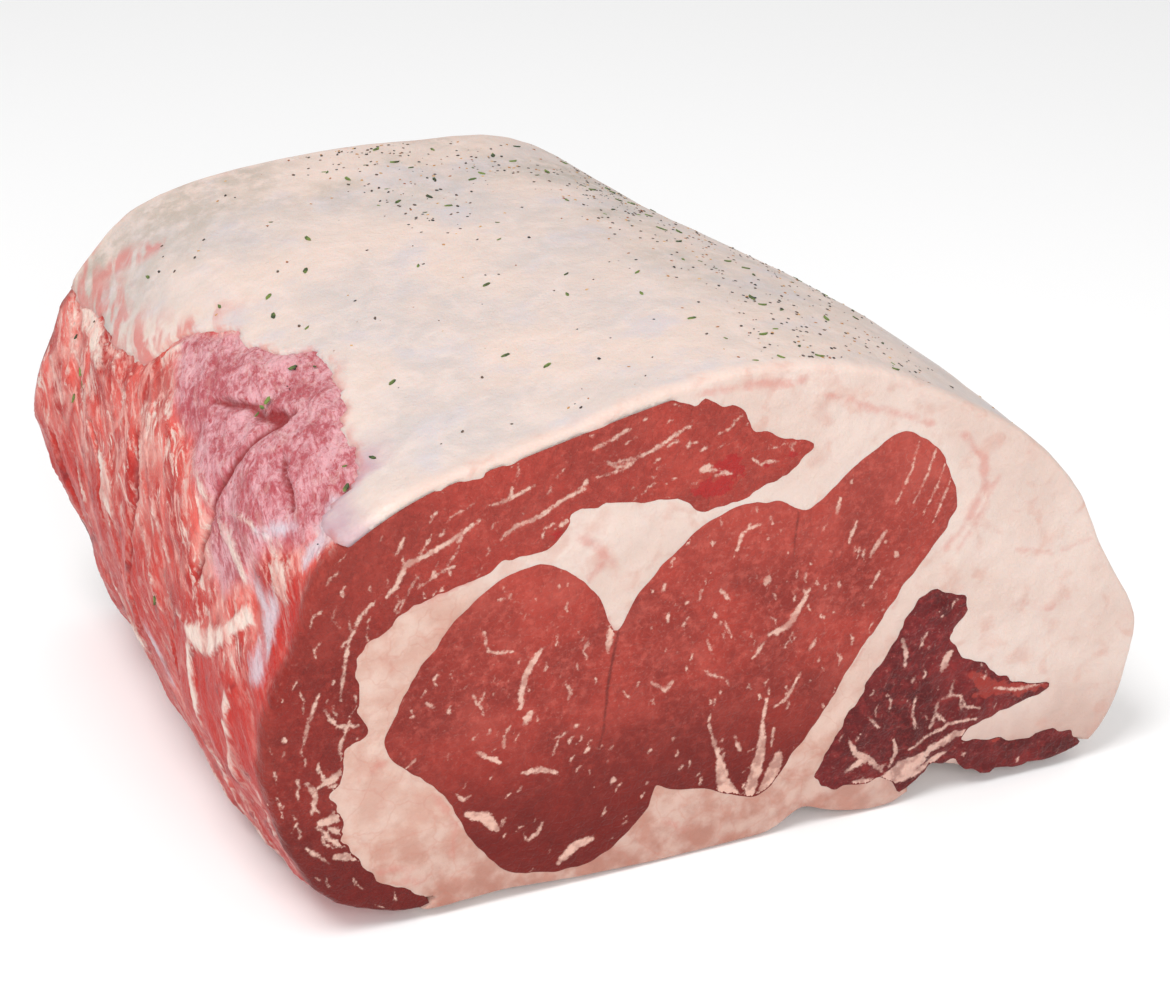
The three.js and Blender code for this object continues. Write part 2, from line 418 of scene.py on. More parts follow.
def travelled(outline):
    """Distance walked to each point of an outline and back to its first."""
    sides = np.diff(np.vstack([outline, outline[:1]]), axis=0)
    return np.concatenate([[0], np.cumsum(np.hypot(*sides.T))])


def even_walk(outline, count):
    """The same outline with evenly spaced points, its facets rounded off."""
    far = travelled(outline)
    stops = np.linspace(0, far[-1], count, endpoint=False)
    closed = np.vstack([outline, outline[:1]])
    walk = np.stack([np.interp(stops, far, closed[:, k]) for k in (0, 1)], axis=1)
    return blurred(walk, 1.1, 0)


NEARLY_PARALLEL = 1e-12
LONGEST_LOOP = 40  # in points


def cross(a, b):
    """The area that two flat directions span."""
    return a[..., 0] * b[..., 1] - a[..., 1] * b[..., 0]


def crossings(ring):
    """Pairs of sides of a ring that cross each other."""
    side = np.roll(ring, -1, 0) - ring
    turn = cross(side[:, None], side[None])
    turn = np.where(np.abs(turn) < NEARLY_PARALLEL, NEARLY_PARALLEL, turn)
    apart = ring[None] - ring[:, None]
    share = cross(apart, side[None]) / turn
    other = cross(apart, side[:, None]) / turn
    crossed = (share > 0) & (share < 1) & (other > 0) & (other < 1)
    return np.argwhere(np.triu(crossed, 2))


def untied(ring):
    """The same ring with any little loops in it pulled nearly straight. Points in an exact line would
    leave triangles without area in the net, so they bow in a little."""
    for attempt in range(4):
        for i, j in crossings(ring):
            if j - i < LONGEST_LOOP:
                first, last = max(i - attempt, 0), min(j + 1 + attempt, len(ring) - 1)
                steps = np.linspace(0, 1, last - first + 1)[:, None]
                chord = ring[last] - ring[first]
                bow = 0.05 * np.sin(math.pi * steps) * (-chord[1], chord[0])
                ring[first:last + 1] = mix(ring[first], ring[last], steps) + bow
    return ring


FAT_OVER = (1.1, 1.9)  # fat over a muscle that hugs the skin, at a cut and deep inside


class Muscle:
    """A packed muscle as rings of points, at any depth."""

    def __init__(self, node, count, hug, ragged, nicks, seed, wild=0.0):
        """hug: how near the skin, in millimetres, the muscle follows it. ragged and nicks: how far broad
        and fine tears reach in. wild: 1 where the muscle is bare and torn down its whole side."""
        self.hug, self.ragged, self.nicks, self.seed, self.wild = hug, ragged, nicks, seed, wild
        self.ends = [even_walk(cut_outline(node, y), count) - heart(y) for y in (FRONT, BACK)]

    def ring(self, y):
        """The muscle's outline at one depth, as points in space."""
        share = (y - FRONT) / LENGTH
        inner = mix(*self.ends, share) + heart(y)
        side = np.roll(inner, -1, 0) - np.roll(inner, 1, 0)
        outward = np.stack([side[:, 1], -side[:, 0]], axis=1) / np.hypot(*side.T)[:, None]
        place = np.insert(inner, 1, y, axis=1)
        frayed = 1 + 1.4 * self.wild * step_between(58, 34, inner[:, 1]) * (place[:, 0] > -98)
        tear = self.ragged * frayed * layered(place * (0.7, 1, 1.4), 5.5, 3, self.seed)
        tear += self.nicks * np.minimum(noise(place * (1, 0.4, 1), 3.2, self.seed + 7), 0.25)
        angle, radius = polar(inner + outward * tear[:, None], y)
        skin = skin_radius(angle, y)
        place = from_polar(angle, skin, y)
        bare = bare_depth(angle, y, place)
        over = mix(*FAT_OVER, step_between(2, 30, from_cut(y)))
        cover = mix(over, mix(1.0, 0.4, step_between(1, 6, bare)), step_between(-2.5, 0.5, bare))
        relief = lean_relief(angle, y, place) * step_between(-1, 2.5, bare) * mix(0.25, 1, self.wild)
        relief = relief * mix(0.55, 1, step_between(0, 6, from_cut(y)))
        hugged = skin - cover + relief
        spoke = inner - heart(y)
        facing = (outward * spoke).sum(1) / np.hypot(*spoke.T)
        under_bare = step_between(-2.5, 0.0, bare) * step_between(17, 13, skin - radius)
        held = np.maximum(step_between(self.hug[1], self.hug[0], skin - radius), under_bare * self.wild)
        held = held * step_between(-0.1, 0.35, facing)
        ring = from_polar(angle, mix(radius, hugged, held), y)
        ring[:, [0, 2]] = untied(ring[:, [0, 2]])
        return ring


muscles = {
    "rib_eye": Muscle("rib_eye", 520, (-2, -1), 0.5, 0.45, 61),
    "rib_cap": Muscle("rib_cap", 560, (3.2, 6.5), 1.0, 1.5, 67, wild=1.0),
    "chine_muscle": Muscle("chine_muscle", 320, (0.8, 2.2), 1.1, 1.3, 71),
}
for node in muscles:
    print(node, "outline points at the front cut:", len(cut_outline(node, FRONT)))

# %% [markdown]
# ## From rings to a closed piece
# A piece is a stack of rings, closed by a flat net at each cut. The net is a Delaunay triangulation: even
# points inside the outline, joined into triangles as round as they can be, with the ring as its border. The
# fat has three more stacks inside it, its tunnels, which become holes in both nets.


# %% Nets for the cut faces
def inside(points, loops):
    """Which points lie inside an odd number of the loops."""
    odd = np.zeros(len(points), bool)
    for loop in loops:
        after = np.roll(loop, -1, 0)
        for (x1, z1), (x2, z2) in zip(loop, after):
            crosses = (z1 > points[:, 1]) != (z2 > points[:, 1])
            if z1 != z2:
                odd ^= crosses & (points[:, 0] < (x2 - x1) * (points[:, 1] - z1) / (z2 - z1) + x1)
    return odd


def border_distance(points, loops):
    """Distance from each point to the nearest border point."""
    border = np.vstack(loops)
    found = np.empty(len(points))
    for first in range(0, len(points), 2000):
        some = points[first:first + 2000]
        found[first:first + 2000] = np.sqrt(((some[:, None] - border) ** 2).sum(2).min(1))
    return found


def cut_net(loops, spacing, seed):
    """Inner points, their distance to the border, and triangles over border points then inner points."""
    border = np.vstack(loops)
    lowest, highest = border.min(0), border.max(0)
    row_height = spacing * math.sqrt(3) / 2
    rows = np.arange(lowest[1], highest[1], row_height)
    columns = np.arange(lowest[0], highest[0], spacing)
    x, z = np.meshgrid(columns, rows)
    x = x + (np.arange(len(rows)) % 2)[:, None] * spacing / 2
    grid = np.stack([x.ravel(), z.ravel()], axis=1)
    grid += np.random.default_rng(seed).uniform(-0.12, 0.12, grid.shape) * spacing
    grid = grid[inside(grid, loops)]
    distance = border_distance(grid, loops)
    keep = distance > 0.55 * spacing
    grid, distance = grid[keep], distance[keep]
    edges, first = [], 0
    for loop in loops:
        numbers = np.arange(first, first + len(loop))
        edges += list(zip(numbers.tolist(), np.roll(numbers, -1).tolist()))
        first += len(loop)
    everything = np.vstack([border, grid])
    found = delaunay_2d_cdt([Vector(p) for p in everything], edges, [], 1, 1e-4, True)
    given = np.array([numbers[0] for numbers in found[3]])
    triangles = given[np.array(found[2])]
    middles = everything[triangles].mean(1)
    return grid, distance, triangles[inside(middles, loops)]


# %% Pieces from stacks of rings
def stack_depths(step):
    """Depths from cut to cut, crowded where the skin rounds in at the rims."""
    rim = np.array([0, 0.3, 0.8, 1.5, 2.3, 3.2, 4.3])
    middle = np.linspace(5.5, LENGTH - 5.5, round((LENGTH - 11) / step) + 1)
    return FRONT + np.concatenate([rim, middle, (LENGTH - rim)[::-1]])


def ring_stack(ring_at, step):
    """Rings at every depth, from the function that draws one."""
    return np.array([ring_at(y) for y in stack_depths(step)])


def knife_wave(points):
    """The slight wave that a knife leaves in a cut: millimetres out of the flat."""
    flat = points * (1, 0, 1)
    return 0.45 * layered(flat, 48, 2, 81)


AT_CUT = 0.9  # a border point this near a cut belongs to it
CRISP_BELOW, FRAYED_BELOW = 1.9, 3.0  # how deep under the skin a border is crisp, and frays


def closed_piece(name, stacks, spacing, swell, lumps, grain):
    """A mesh from stacks of rings, one outside and the rest tunnels. swell is how far its cut faces stand
    proud of their borders; lumps and grain are the heights of their broad and fine relief. Returns the
    object, its corners and, for each corner, 0 on the skin, 1 on the front cut or 2 on the back cut."""
    corners, triangles, starts = [], [], []
    total = 0
    for stack in stacks:
        rings, count = stack.shape[:2]
        numbers = total + np.arange(rings * count).reshape(rings, count)
        beside = np.roll(numbers, -1, 1)
        first = np.stack([numbers[:-1], beside[:-1], beside[1:]], axis=-1)
        second = np.stack([numbers[:-1], beside[1:], numbers[1:]], axis=-1)
        triangles += [first.reshape(-1, 3), second.reshape(-1, 3)]
        corners.append(stack.reshape(-1, 3))
        starts.append((total, total + (rings - 1) * count, count))
        total += rings * count
    zone = [np.zeros(total)]
    for face, y, out in ((0, FRONT, -1), (1, BACK, 1)):
        loops = [stack[-face][:, [0, 2]] for stack in stacks]
        border = np.concatenate([np.arange(s[face], s[face] + s[2]) for s in starts])
        inner, distance, net = cut_net(loops, spacing[face], 91 + face)
        place = np.insert(inner, 1, y, axis=1)
        stand = swell * (1 - np.exp(-distance / 6))
        stand += grain * layered(place, 3.2, 3, 95) * np.tanh(distance / 2)
        stand += lumps * layered(place, 14, 2, 97) * np.tanh(distance / 5)
        place[:, 1] += out * stand
        numbers = np.concatenate([border, total + np.arange(len(inner))])
        triangles.append(numbers[net])
        corners.append(place)
        zone.append(np.full(len(inner), face + 1))
        total += len(inner)
    corners, triangles, zone = np.vstack(corners), np.vstack(triangles), np.concatenate(zone)
    corners[:, 1] += knife_wave(corners) * (1 - step_between(0, 9, from_cut(corners[:, 1])))
    mesh = bpy.data.meshes.new(name)
    mesh.from_pydata((corners * MM).tolist(), [], triangles.tolist())
    mesh.validate()
    turned = bmesh.new()
    turned.from_mesh(mesh)
    bmesh.ops.recalc_face_normals(turned, faces=turned.faces)
    if turned.calc_volume(signed=True) < 0:
        bmesh.ops.reverse_faces(turned, faces=turned.faces)
    loose = [edge for edge in turned.edges if not edge.is_manifold]
    turned.to_mesh(mesh)
    turned.free()
    mesh.polygons.foreach_set("use_smooth", np.ones(len(mesh.polygons), bool))
    # A border that lies inside the roast is a crisp edge; one on the skin stays soft.
    ends = np.empty(2 * len(mesh.edges), np.int32)
    mesh.edges.foreach_get("vertices", ends)
    ends = ends.reshape(-1, 2)
    spots = corners[ends]
    on_cut = ((np.abs(from_cut(spots[..., 1])) < AT_CUT) & (zone[ends] == 0)).all(1)
    angle, radius = around(spots)
    sunk = (skin_radius(angle, spots[..., 1]) - radius > CRISP_BELOW).all(1)
    crisp = mesh.attributes.new("sharp_edge", "BOOLEAN", "EDGE")
    crisp.data.foreach_set("value", on_cut & sunk)
    piece = new_object(name, mesh)
    print(name, len(mesh.polygons), "triangles,", len(loose), "open edges")
    return piece, corners, zone


def give(piece, attribute, values):
    """Stores one number for each vertex of a piece, for its material to read."""
    layer = piece.data.attributes.new(attribute, "FLOAT", "POINT")
    layer.data.foreach_set("value", np.asarray(values, np.float32))


# %% [markdown]
# ## The three muscles
# The rib eye and the chine muscle need few rings, because only their ends show. The rib cap is bare down
# the whole lip side, so its rings lie close together there.

# %% Make the muscles
made = {}
RINGS = {"rib_eye": 18.0, "rib_cap": 1.35, "chine_muscle": 3.0}
NET = {"rib_eye": (0.55, 1.1), "rib_cap": (0.6, 1.1), "chine_muscle": (0.5, 1.0)}
GRAIN = {"rib_eye": 0.22, "rib_cap": 0.3, "chine_muscle": 0.7}
for node, muscle in muscles.items():
    stack = ring_stack(muscle.ring, RINGS[node])
    made[node] = closed_piece(node + "_meat", [stack], NET[node], swell=0.35, lumps=0.5, grain=GRAIN[node])

# %% [markdown]
# ## The fat
# The fat is one closed piece with three tunnels. Its skin follows the table of radii, with shallow dimples,
# and it dives below the lean wherever the lean is bare: the two surfaces cross along a sharp torn edge, as
# a real fat cap ends. Each tunnel stays a thin wall's width inside the skin.

# %% Make the fat
SKIN_COUNT = 400
WALL = 0.7  # the thinnest the fat may get round a tunnel
DIVE, DEEP_DIVE = 2.2, 4.5  # how far the fat sinks below bare lean: everywhere, and far inside the lip side


def even_angles(count):
    """Angles that part the middle section's skin into equal lengths."""
    fine = np.arange(0, 360, 0.25)
    far = travelled(on_skin(fine, 0.0)[:, [0, 2]])
    return np.interp(np.linspace(0, far[-1], count, endpoint=False), far, np.append(fine, 360))


def fat_height(angle, y):
    """Distance from the heart to the fat's skin."""
    radius = skin_radius(angle, y)
    place = from_polar(angle, radius, y)
    bare = bare_depth(angle, y, place)
    relief = fat_relief(place) * mix(0.6, 1, step_between(0, 6, from_cut(y)))
    dive = DIVE * step_between(-0.5, 1.3, bare)
    lip_side = np.abs(angle - 190) < 60
    dive += DEEP_DIVE * step_between(5, 14, bare) * step_between(3, 9, from_cut(y)) * lip_side
    return radius + relief - dive, bare


def fat_ring(y):
    angle = even_angles(SKIN_COUNT)
    radius, _ = fat_height(angle, y)
    return from_polar(angle, radius, y)


def tunnel_ring(muscle, y):
    """A muscle's ring, kept a wall's width inside the fat's skin."""
    ring = muscle.ring(y)
    angle, radius = around(ring)
    skin, _ = fat_height(angle, y)
    ring = from_polar(angle, np.minimum(radius, skin - WALL), y)
    ring[:, [0, 2]] = untied(ring[:, [0, 2]])
    return ring


stacks = [ring_stack(fat_ring, 1.35)]
for muscle in muscles.values():
    stacks.append(ring_stack(lambda y: tunnel_ring(muscle, y), 24.0))
made["fat"] = closed_piece("fat_layer", stacks, (1.0, 1.7), swell=0.15, lumps=0.7, grain=0.35)

# %% Draw the thin wall back
# Where the lean is bare, the thin wall of fat inside it draws back from the cuts, out of sight.
DRAW_BACK = 3.0
fat, corners, _ = made["fat"]
angle, radius = around(corners)
y = corners[:, 1]
skin = skin_radius(angle, y)
bare = bare_depth(angle, y, from_polar(angle, skin, y))
drawn_back = DRAW_BACK * step_between(3.0, 1.0, from_cut(y)) * step_between(5.0, 3.6, skin - radius)
corners[:, 1] -= np.sign(y) * drawn_back * step_between(-1.0, 0.4, bare)
fat.data.vertices.foreach_set("co", (corners * MM).ravel())
fat.data.update()
print("thin wall drawn back by up to", drawn_back.max().round(1), "mm")

# %% [markdown]
# ## Marbling
# Intramuscular fat shows on a cut as pale streaks with soft, broken edges. The large ones are given on the
# front cut as short bent strokes with a width. Each vertex stores how deep it lies inside the
# nearest stroke, and the material turns that into a crisp edge however coarse the mesh is.

# %% Strokes on the cut face
# Each stroke: its width in millimetres, then its points as x and z at the front cut.
EYE_STROKES = [
    (1.9, (-42.4, 70.8), (-44.5, 68), (-46.3, 64), (-47.4, 60), (-47.9, 55.6)),
    (2.2, (-45.1, 53.5), (-46.4, 51)),
    (0.9, (-56.6, 78.4), (-55.7, 73.3), (-52.5, 72), (-49.5, 72)),
    (1.2, (-58.5, 46), (-55.5, 43.2), (-53, 41)),
    (1.4, (-47.4, 36.8), (-42.7, 36.8), (-37.5, 34.3)),
    (1.8, (-23.4, 29.5), (-23.6, 28)),
    (1.3, (-46, 17), (-43.9, 18.2), (-42.6, 20.8)),
    (0.8, (-67, 80.7), (-68, 78.8)),
    (0.8, (-52.8, 86.2), (-51, 86.4)),
    (0.9, (-64.7, 34.5), (-62.9, 32.6), (-61, 33.4)),
    (0.8, (-36, 60), (-34.6, 57.5), (-35.2, 55)),
    (0.7, (-71, 62), (-69.5, 60.5)),
    (0.7, (-60, 62), (-59, 59)),
    (1.6, (-24, 79.5), (-23.8, 74), (-24.4, 69.5), (-24.9, 66)),
    (1.8, (28.2, 72.2), (25.5, 66.3), (22.6, 62.3), (17.7, 61.4)),
    (0.9, (16.7, 59.7), (14.9, 57.2), (13.6, 55.8)),
    (1.9, (17.1, 78), (16.7, 75.3)),
    (0.8, (4.3, 77.1), (7.1, 73.2)),
    (0.9, (8, 86.9), (9.7, 91.5), (14.5, 92.7)),
    (1.1, (40.8, 88.4), (38.7, 82.7)),
    (1, (45, 77.7), (47, 81), (49.1, 83.9)),
    (1.4, (52, 77.1), (52.4, 75.9)),
    (0.9, (48.1, 72.8), (45.5, 68.8)),
    (0.9, (-13.3, 54.5), (-9.8, 51.4), (-8, 53.8)),
    (0.8, (0.5, 55), (2.8, 53.3), (5.5, 51.8)),
    (1, (27.1, 48), (24.5, 43.3), (22.7, 40.8), (20.5, 39.5)),
    (0.8, (1, 63), (2.2, 60)),
    (0.8, (31, 57), (29.6, 54)),
    (0.7, (-4, 71), (-5.2, 68.6)),
    (0.8, (36, 96), (34.8, 92)),
    (1.3, (2.1, 38.3), (4.2, 31.9), (6.3, 23.8), (8.7, 15)),
    (3.4, (5.4, 27), (6.6, 20), (9, 10)),
    (6.0, (7, 20), (9.5, 12), (10, 4)),
    (1.5, (17.9, 41.9), (17.2, 30.1), (15.6, 21.5), (12.8, 14)),
    (3.2, (17.4, 31), (15.8, 22), (13, 10)),
    (5.0, (22, 24), (19, 15), (17, 5)),
    (2.6, (-38, 8), (-34, 12), (-29, 12.5)),
    (3.0, (-62, 28), (-57, 26), (-54, 22)),
    (1, (9.6, 33.5), (11.1, 28.6)),
    (0.9, (20.5, 33), (19.8, 27.5)),
    (0.5, (62, 105), (59.5, 97), (56, 90)),
    (0.6, (65, 101), (62.5, 93), (59, 86)),
    (0.5, (67, 96), (65, 90), (62, 83)),
    (0.4, (57, 107), (55, 99), (51, 91)),
]
CAP_STROKES = [
    (1.2, (-30.9, 111.7), (-37.1, 109.5), (-42.1, 106.6), (-48.3, 105.2), (-52, 102.1)),
    (1.4, (-56.8, 108.3), (-61.7, 105.4), (-69, 102.2), (-75.1, 100.3), (-77.6, 95.6), (-80.1, 93)),
    (1, (-83.8, 91.7), (-86.3, 89.6), (-88.9, 83.5), (-90.5, 75.8), (-92, 68)),
    (1, (-4.6, 122.8), (-12.1, 119), (-17.1, 117.4), (-24.7, 116.7)),
    (1.8, (-1.7, 110.4), (1.3, 110.9)),
    (0.8, (-43, 115), (-50, 112.6), (-55, 111.6)),
    (0.8, (-64, 97.6), (-71, 94.6)),
    (0.9, (-90, 62), (-92.5, 56), (-92, 51)),
    (1.2, (-101, 47), (-99, 42), (-100, 38)),
    (0.9, (-97, 71), (-100, 63), (-101.5, 57)),
    (1.5, (-96, 33), (-93.4, 31)),
    (1, (-102, 29), (-98, 25)),
    (0.8, (-20, 124.5), (-29, 121.5)),
    (0.9, (-33, 105), (-38, 102.6)),
    (0.9, (-88, 60), (-93, 61), (-96, 66)),
    (2.2, (-85, 49), (-92, 48), (-98, 45)),
    (1.0, (-90, 43), (-96, 45), (-98, 51)),
    (3.2, (-84, 33), (-91, 36), (-98, 35)),
    (1.3, (-86, 27), (-94, 28), (-99, 34)),
    (3.0, (-80, 20), (-88, 23), (-95, 25)),
]
CHINE_STROKES = [
    (1.1, (56, 51), (57, 48), (57, 43)),
    (2.4, (70, 44), (69, 42), (68, 39)),
    (0.9, (68, 30), (71, 31), (72, 35)),
    (0.9, (71, 31), (74, 30), (76, 26), (80, 25)),
    (0.8, (70, 23), (67, 27), (68, 30)),
    (1.0, (66, 22), (67, 26)),
    (2.2, (56, 11), (65, 15), (73, 18), (81, 18), (90, 21)),
    (1.0, (60, 17), (66, 20), (72, 22), (79, 22)),
    (1.8, (42, 24), (44, 20), (48, 17), (52, 12)),
    (2.0, (42, 15), (46, 17), (48, 17)),
    (1.2, (54, 13), (56, 17), (55, 21)),
    (2.6, (39, 9), (46, 10), (55, 8), (62, 9), (70, 13)),
    (0.8, (61, 33), (60, 27), (62, 23)),
    (0.7, (47, 30), (50, 26)),
    (0.9, (84, 30), (92, 28), (99, 28)),
    (0.7, (63, 52), (61, 47)),
    (5.5, (50, 7), (58, 11), (64, 13)),
]
# The furrows between the lobes of the eye.
EYE_SEAM = [(1.1, (-21.4, 78.8), (-22.4, 71.3), (-23.9, 63.2), (-25.2, 55), (-25.9, 43.7), (-28, 37)),
            (0.9, (24.6, 98), (24.4, 93), (23.8, 87), (23.6, 82))]
# Brighter meat in the tip of the chine muscle.
TONGUE = [(4.5, (78, 29), (88, 29), (102, 27)), (4, (76, 36), (84, 30)), (3.5, (96, 16), (84, 14))]
# Spots of blood on the rib cap.
BLOOD = [(6.5, (3, 111), (9, 108.5)), (5, (-3, 105), (6, 105.5)), (2.2, (-35, 99.8), (-39, 100.4)),
         (2, (15, 108.5), (23, 109.5)), (1.8, (-14, 104), (-27, 102.4), (-33, 100))]


def small_flecks(count, across, reach, along_skin, seed):
    """Short strokes of fat scattered over a cut. They lean with the grain, or run along the skin."""
    rng = np.random.default_rng(seed)
    middles = rng.uniform(across[0], across[1], (count, 2))
    lean = 62 + 55 * layered(np.insert(middles, 1, 0, 1), 30, 2, seed)
    if along_skin:
        lean = polar(middles, FRONT)[0] + 90
    lean = np.radians(lean + rng.normal(0, 16, count))
    length = rng.lognormal(reach, 0.55, count)
    width = rng.lognormal(-0.85, 0.4, count)
    strokes = []
    for middle, turn, far, wide in zip(middles, lean, length, width):
        step = np.array([math.cos(turn), math.sin(turn)]) * far / 2
        bend = np.array([-step[1], step[0]]) * rng.uniform(-0.5, 0.5)
        strokes.append((wide, tuple(middle - step), tuple(middle + bend), tuple(middle + step)))
    return strokes


def over_cut(corners, wander, seed):
    """Points of a cut as x and z at the front, wandering a little. The back cut shows the same seams,
    carried along the grain and bent more."""
    behind = corners[:, 1] > 0
    flat = corners[:, [0, 2]] - np.outer(behind, HEART_BACK - HEART_FRONT)
    wander = wander * (1 + 2 * behind)
    flat[:, 0] += wander * layered(corners, 9, 3, seed)
    flat[:, 1] += wander * layered(corners, 9, 3, seed + 4)
    return flat


def cut_share(corners, zone):
    """1 on a cut face, falling to 0 a few millimetres down the skin."""
    edge = 3.0 + 3.0 * layered(corners, 8, 3, 111)
    return np.maximum(zone > 0, step_between(edge + 2.5, edge - 2.0, from_cut(corners[:, 1])))


def store_strokes(node, name, strokes, wander, seed, blunt):
    """Stores how deep each point of a piece's cuts lies inside the strokes."""
    piece, corners, zone = made[node]
    deep = stroke_depth(over_cut(corners, wander, seed), strokes, blunt)
    give(piece, name, np.where(zone > 0, deep, OUTSIDE))


def store_marbling(node, strokes, flecks):
    """Stores streaks and flecks, the distance to the muscle's border, and where the cut begins."""
    piece, corners, zone = made[node]
    flat = over_cut(corners, 0.7, 101)
    deep = stroke_depth(flat, strokes, 0.35)
    deep = np.maximum(deep, stroke_depth(over_cut(corners, 0.35, 109), flecks, 0.3))
    give(piece, "marble", np.where(zone > 0, deep, OUTSIDE))
    inward = np.full(len(corners), 9.0)
    for face, y in ((1, FRONT), (2, BACK)):
        border = corners[(zone == 0) & (np.abs(corners[:, 1] - y) < AT_CUT)]
        angle, radius = around(border)
        border = border[skin_radius(angle, border[:, 1]) - radius > FRAYED_BELOW][:, [0, 2]]
        inward[zone == face] = border_distance(corners[zone == face][:, [0, 2]], [border])
    give(piece, "inward", inward)
    give(piece, "cut", cut_share(corners, zone))


store_marbling("rib_eye", EYE_STROKES, small_flecks(260, ((-80, 3), (50, 103)), 0.45, False, 141))
store_marbling("rib_cap", CAP_STROKES, small_flecks(430, ((-112, 3), (28, 130)), 1.1, True, 143))
store_marbling("chine_muscle", CHINE_STROKES, small_flecks(60, ((30, 4), (110, 60)), 0.6, False, 147))
store_strokes("rib_eye", "seam", EYE_SEAM, 0.6, 113, 0.3)
store_strokes("chine_muscle", "tongue", TONGUE, 1.0, 119, 0.4)
store_strokes("rib_cap", "blood", BLOOD, 1.5, 117, 0.3)
print("marbled:", ", ".join(muscles))

# %% [markdown]
# ## Material helpers
# A material is a small tree of nodes. These helpers add a node or two and give back an output, so that a
# material reads as a recipe. Colours are written as they look on a screen and turned into light values.


# %% Node helpers
def light(code):
    """A screen colour such as 'E3D0C7' as linear red, green, blue and alpha."""
    parts = [int(code[k:k + 2], 16) / 255 for k in (0, 2, 4)]
    return [p / 12.92 if p <= 0.04045 else ((p + 0.055) / 1.055) ** 2.4 for p in parts] + [1]


class Nodes:
    """A node tree, one node at a time. An input is given a number, or the output of another node."""

    def __init__(self, tree):
        self.tree = tree

    def set(self, socket, value):
        if isinstance(value, bpy.types.NodeSocket):
            self.tree.links.new(value, socket)
        else:
            socket.default_value = value

    def add(self, kind, inputs=(), **settings):
        node = self.tree.nodes.new(kind)
        for name, value in settings.items():
            setattr(node, name, value)
        for name, value in dict(inputs).items():
            self.set(node.inputs[name], value)
        return node


# %% A material as a recipe
class Recipe(Nodes):
    """A material, one ingredient at a time. Sizes are in millimetres."""

    def __init__(self, name):
        self.material = bpy.data.materials.new(name)
        self.material.use_nodes = True
        super().__init__(self.material.node_tree)
        self.shader = self.tree.nodes["Principled BSDF"]
        self.place = self.add("ShaderNodeTexCoord").outputs["Object"]

    def noise(self, size, detail=2.0, place=None, distortion=0.0, roughness=0.5):
        """Noise from 0 to 1."""
        inputs = {"Vector": place or self.place, "Scale": 1 / (size * MM), "Detail": detail,
                  "Distortion": distortion, "Roughness": roughness}
        return self.add("ShaderNodeTexNoise", inputs).outputs["Fac"]

    def cells(self, size, output="Distance", feature="F1", place=None):
        inputs = {"Vector": place or self.place, "Scale": 1 / (size * MM)}
        return self.add("ShaderNodeTexVoronoi", inputs, feature=feature).outputs[output]

    def squeezed(self, turn, scale):
        """The place turned and then scaled along each axis, to stretch a pattern."""
        turned = self.add("ShaderNodeMapping", {"Vector": self.place, "Rotation": turn})
        return self.add("ShaderNodeMapping", {"Vector": turned.outputs[0], "Scale": scale}).outputs[0]

    def warped(self, size, by):
        """The place pushed about by noise of one size."""
        push = self.add("ShaderNodeTexNoise", {"Vector": self.place, "Scale": 1 / (size * MM), "Detail": 3.0})
        push = self.add("ShaderNodeVectorMath", {0: push.outputs["Color"], 1: (0.5, 0.5, 0.5)},
                        operation="SUBTRACT")
        push = self.add("ShaderNodeVectorMath", {0: push.outputs[0], "Scale": 2 * by * MM}, operation="SCALE")
        return self.add("ShaderNodeVectorMath", {0: self.place, 1: push.outputs[0]}).outputs[0]

    def math(self, operation, a, b=0.0):
        return self.add("ShaderNodeMath", {0: a, 1: b}, operation=operation).outputs[0]

    def times(self, *shares):
        """Several shares multiplied together."""
        product = shares[0]
        for share in shares[1:]:
            product = self.math("MULTIPLY", product, share)
        return product

    def band(self, value, low_edge, high_edge, low_value=0.0, high_value=1.0):
        """Maps a value smoothly from one range to another."""
        inputs = {"Value": value, "From Min": low_edge, "From Max": high_edge,
                  "To Min": low_value, "To Max": high_value}
        return self.add("ShaderNodeMapRange", inputs, interpolation_type="SMOOTHSTEP").outputs[0]

    def blend(self, share, a, b, mode="MIX"):
        node = self.add("ShaderNodeMix", data_type="RGBA", blend_type=mode)
        self.set(node.inputs[0], share)
        self.set(node.inputs[6], light(a) if isinstance(a, str) else a)
        self.set(node.inputs[7], light(b) if isinstance(b, str) else b)
        return node.outputs[2]

    def patches(self, colour, tint, pattern, start, full, *shares):
        """Lays a tint over a colour, from where a pattern has its start value to where it is full."""
        return self.blend(self.times(self.band(pattern, start, full), *shares), colour, tint)

    def attribute(self, name):
        return self.add("ShaderNodeAttribute", attribute_name=name).outputs["Fac"]

    def torn_mark(self, name, pattern, reach, outside, within):
        """A mark stored on the piece, from 0 outside it to 1 within, its outline pushed about by noise."""
        push = self.times(self.math("SUBTRACT", pattern, 0.5), reach)
        return self.band(self.math("ADD", self.attribute(name), push), outside, within)

    def finish(self, colour, roughness, height, depth, **flat):
        """Sets the colour, roughness, bump of a depth, and even numbers on the shader."""
        self.set(self.shader.inputs["Base Color"], colour)
        self.set(self.shader.inputs["Roughness"], roughness)
        bump = self.add("ShaderNodeBump", {"Height": height, "Strength": 1.0, "Distance": depth * MM})
        self.set(self.shader.inputs["Normal"], bump.outputs[0])
        for name, value in flat.items():
            self.set(self.shader.inputs[name.replace("_", " ")], value)
        return self.material


# %% [markdown]
# ## Fat
# Raw fat is cream with a breath of pink, cooler and greyer where the air has dried it, and warm where the
# knife has opened it. Light sinks into it, so it gets some subsurface scattering.


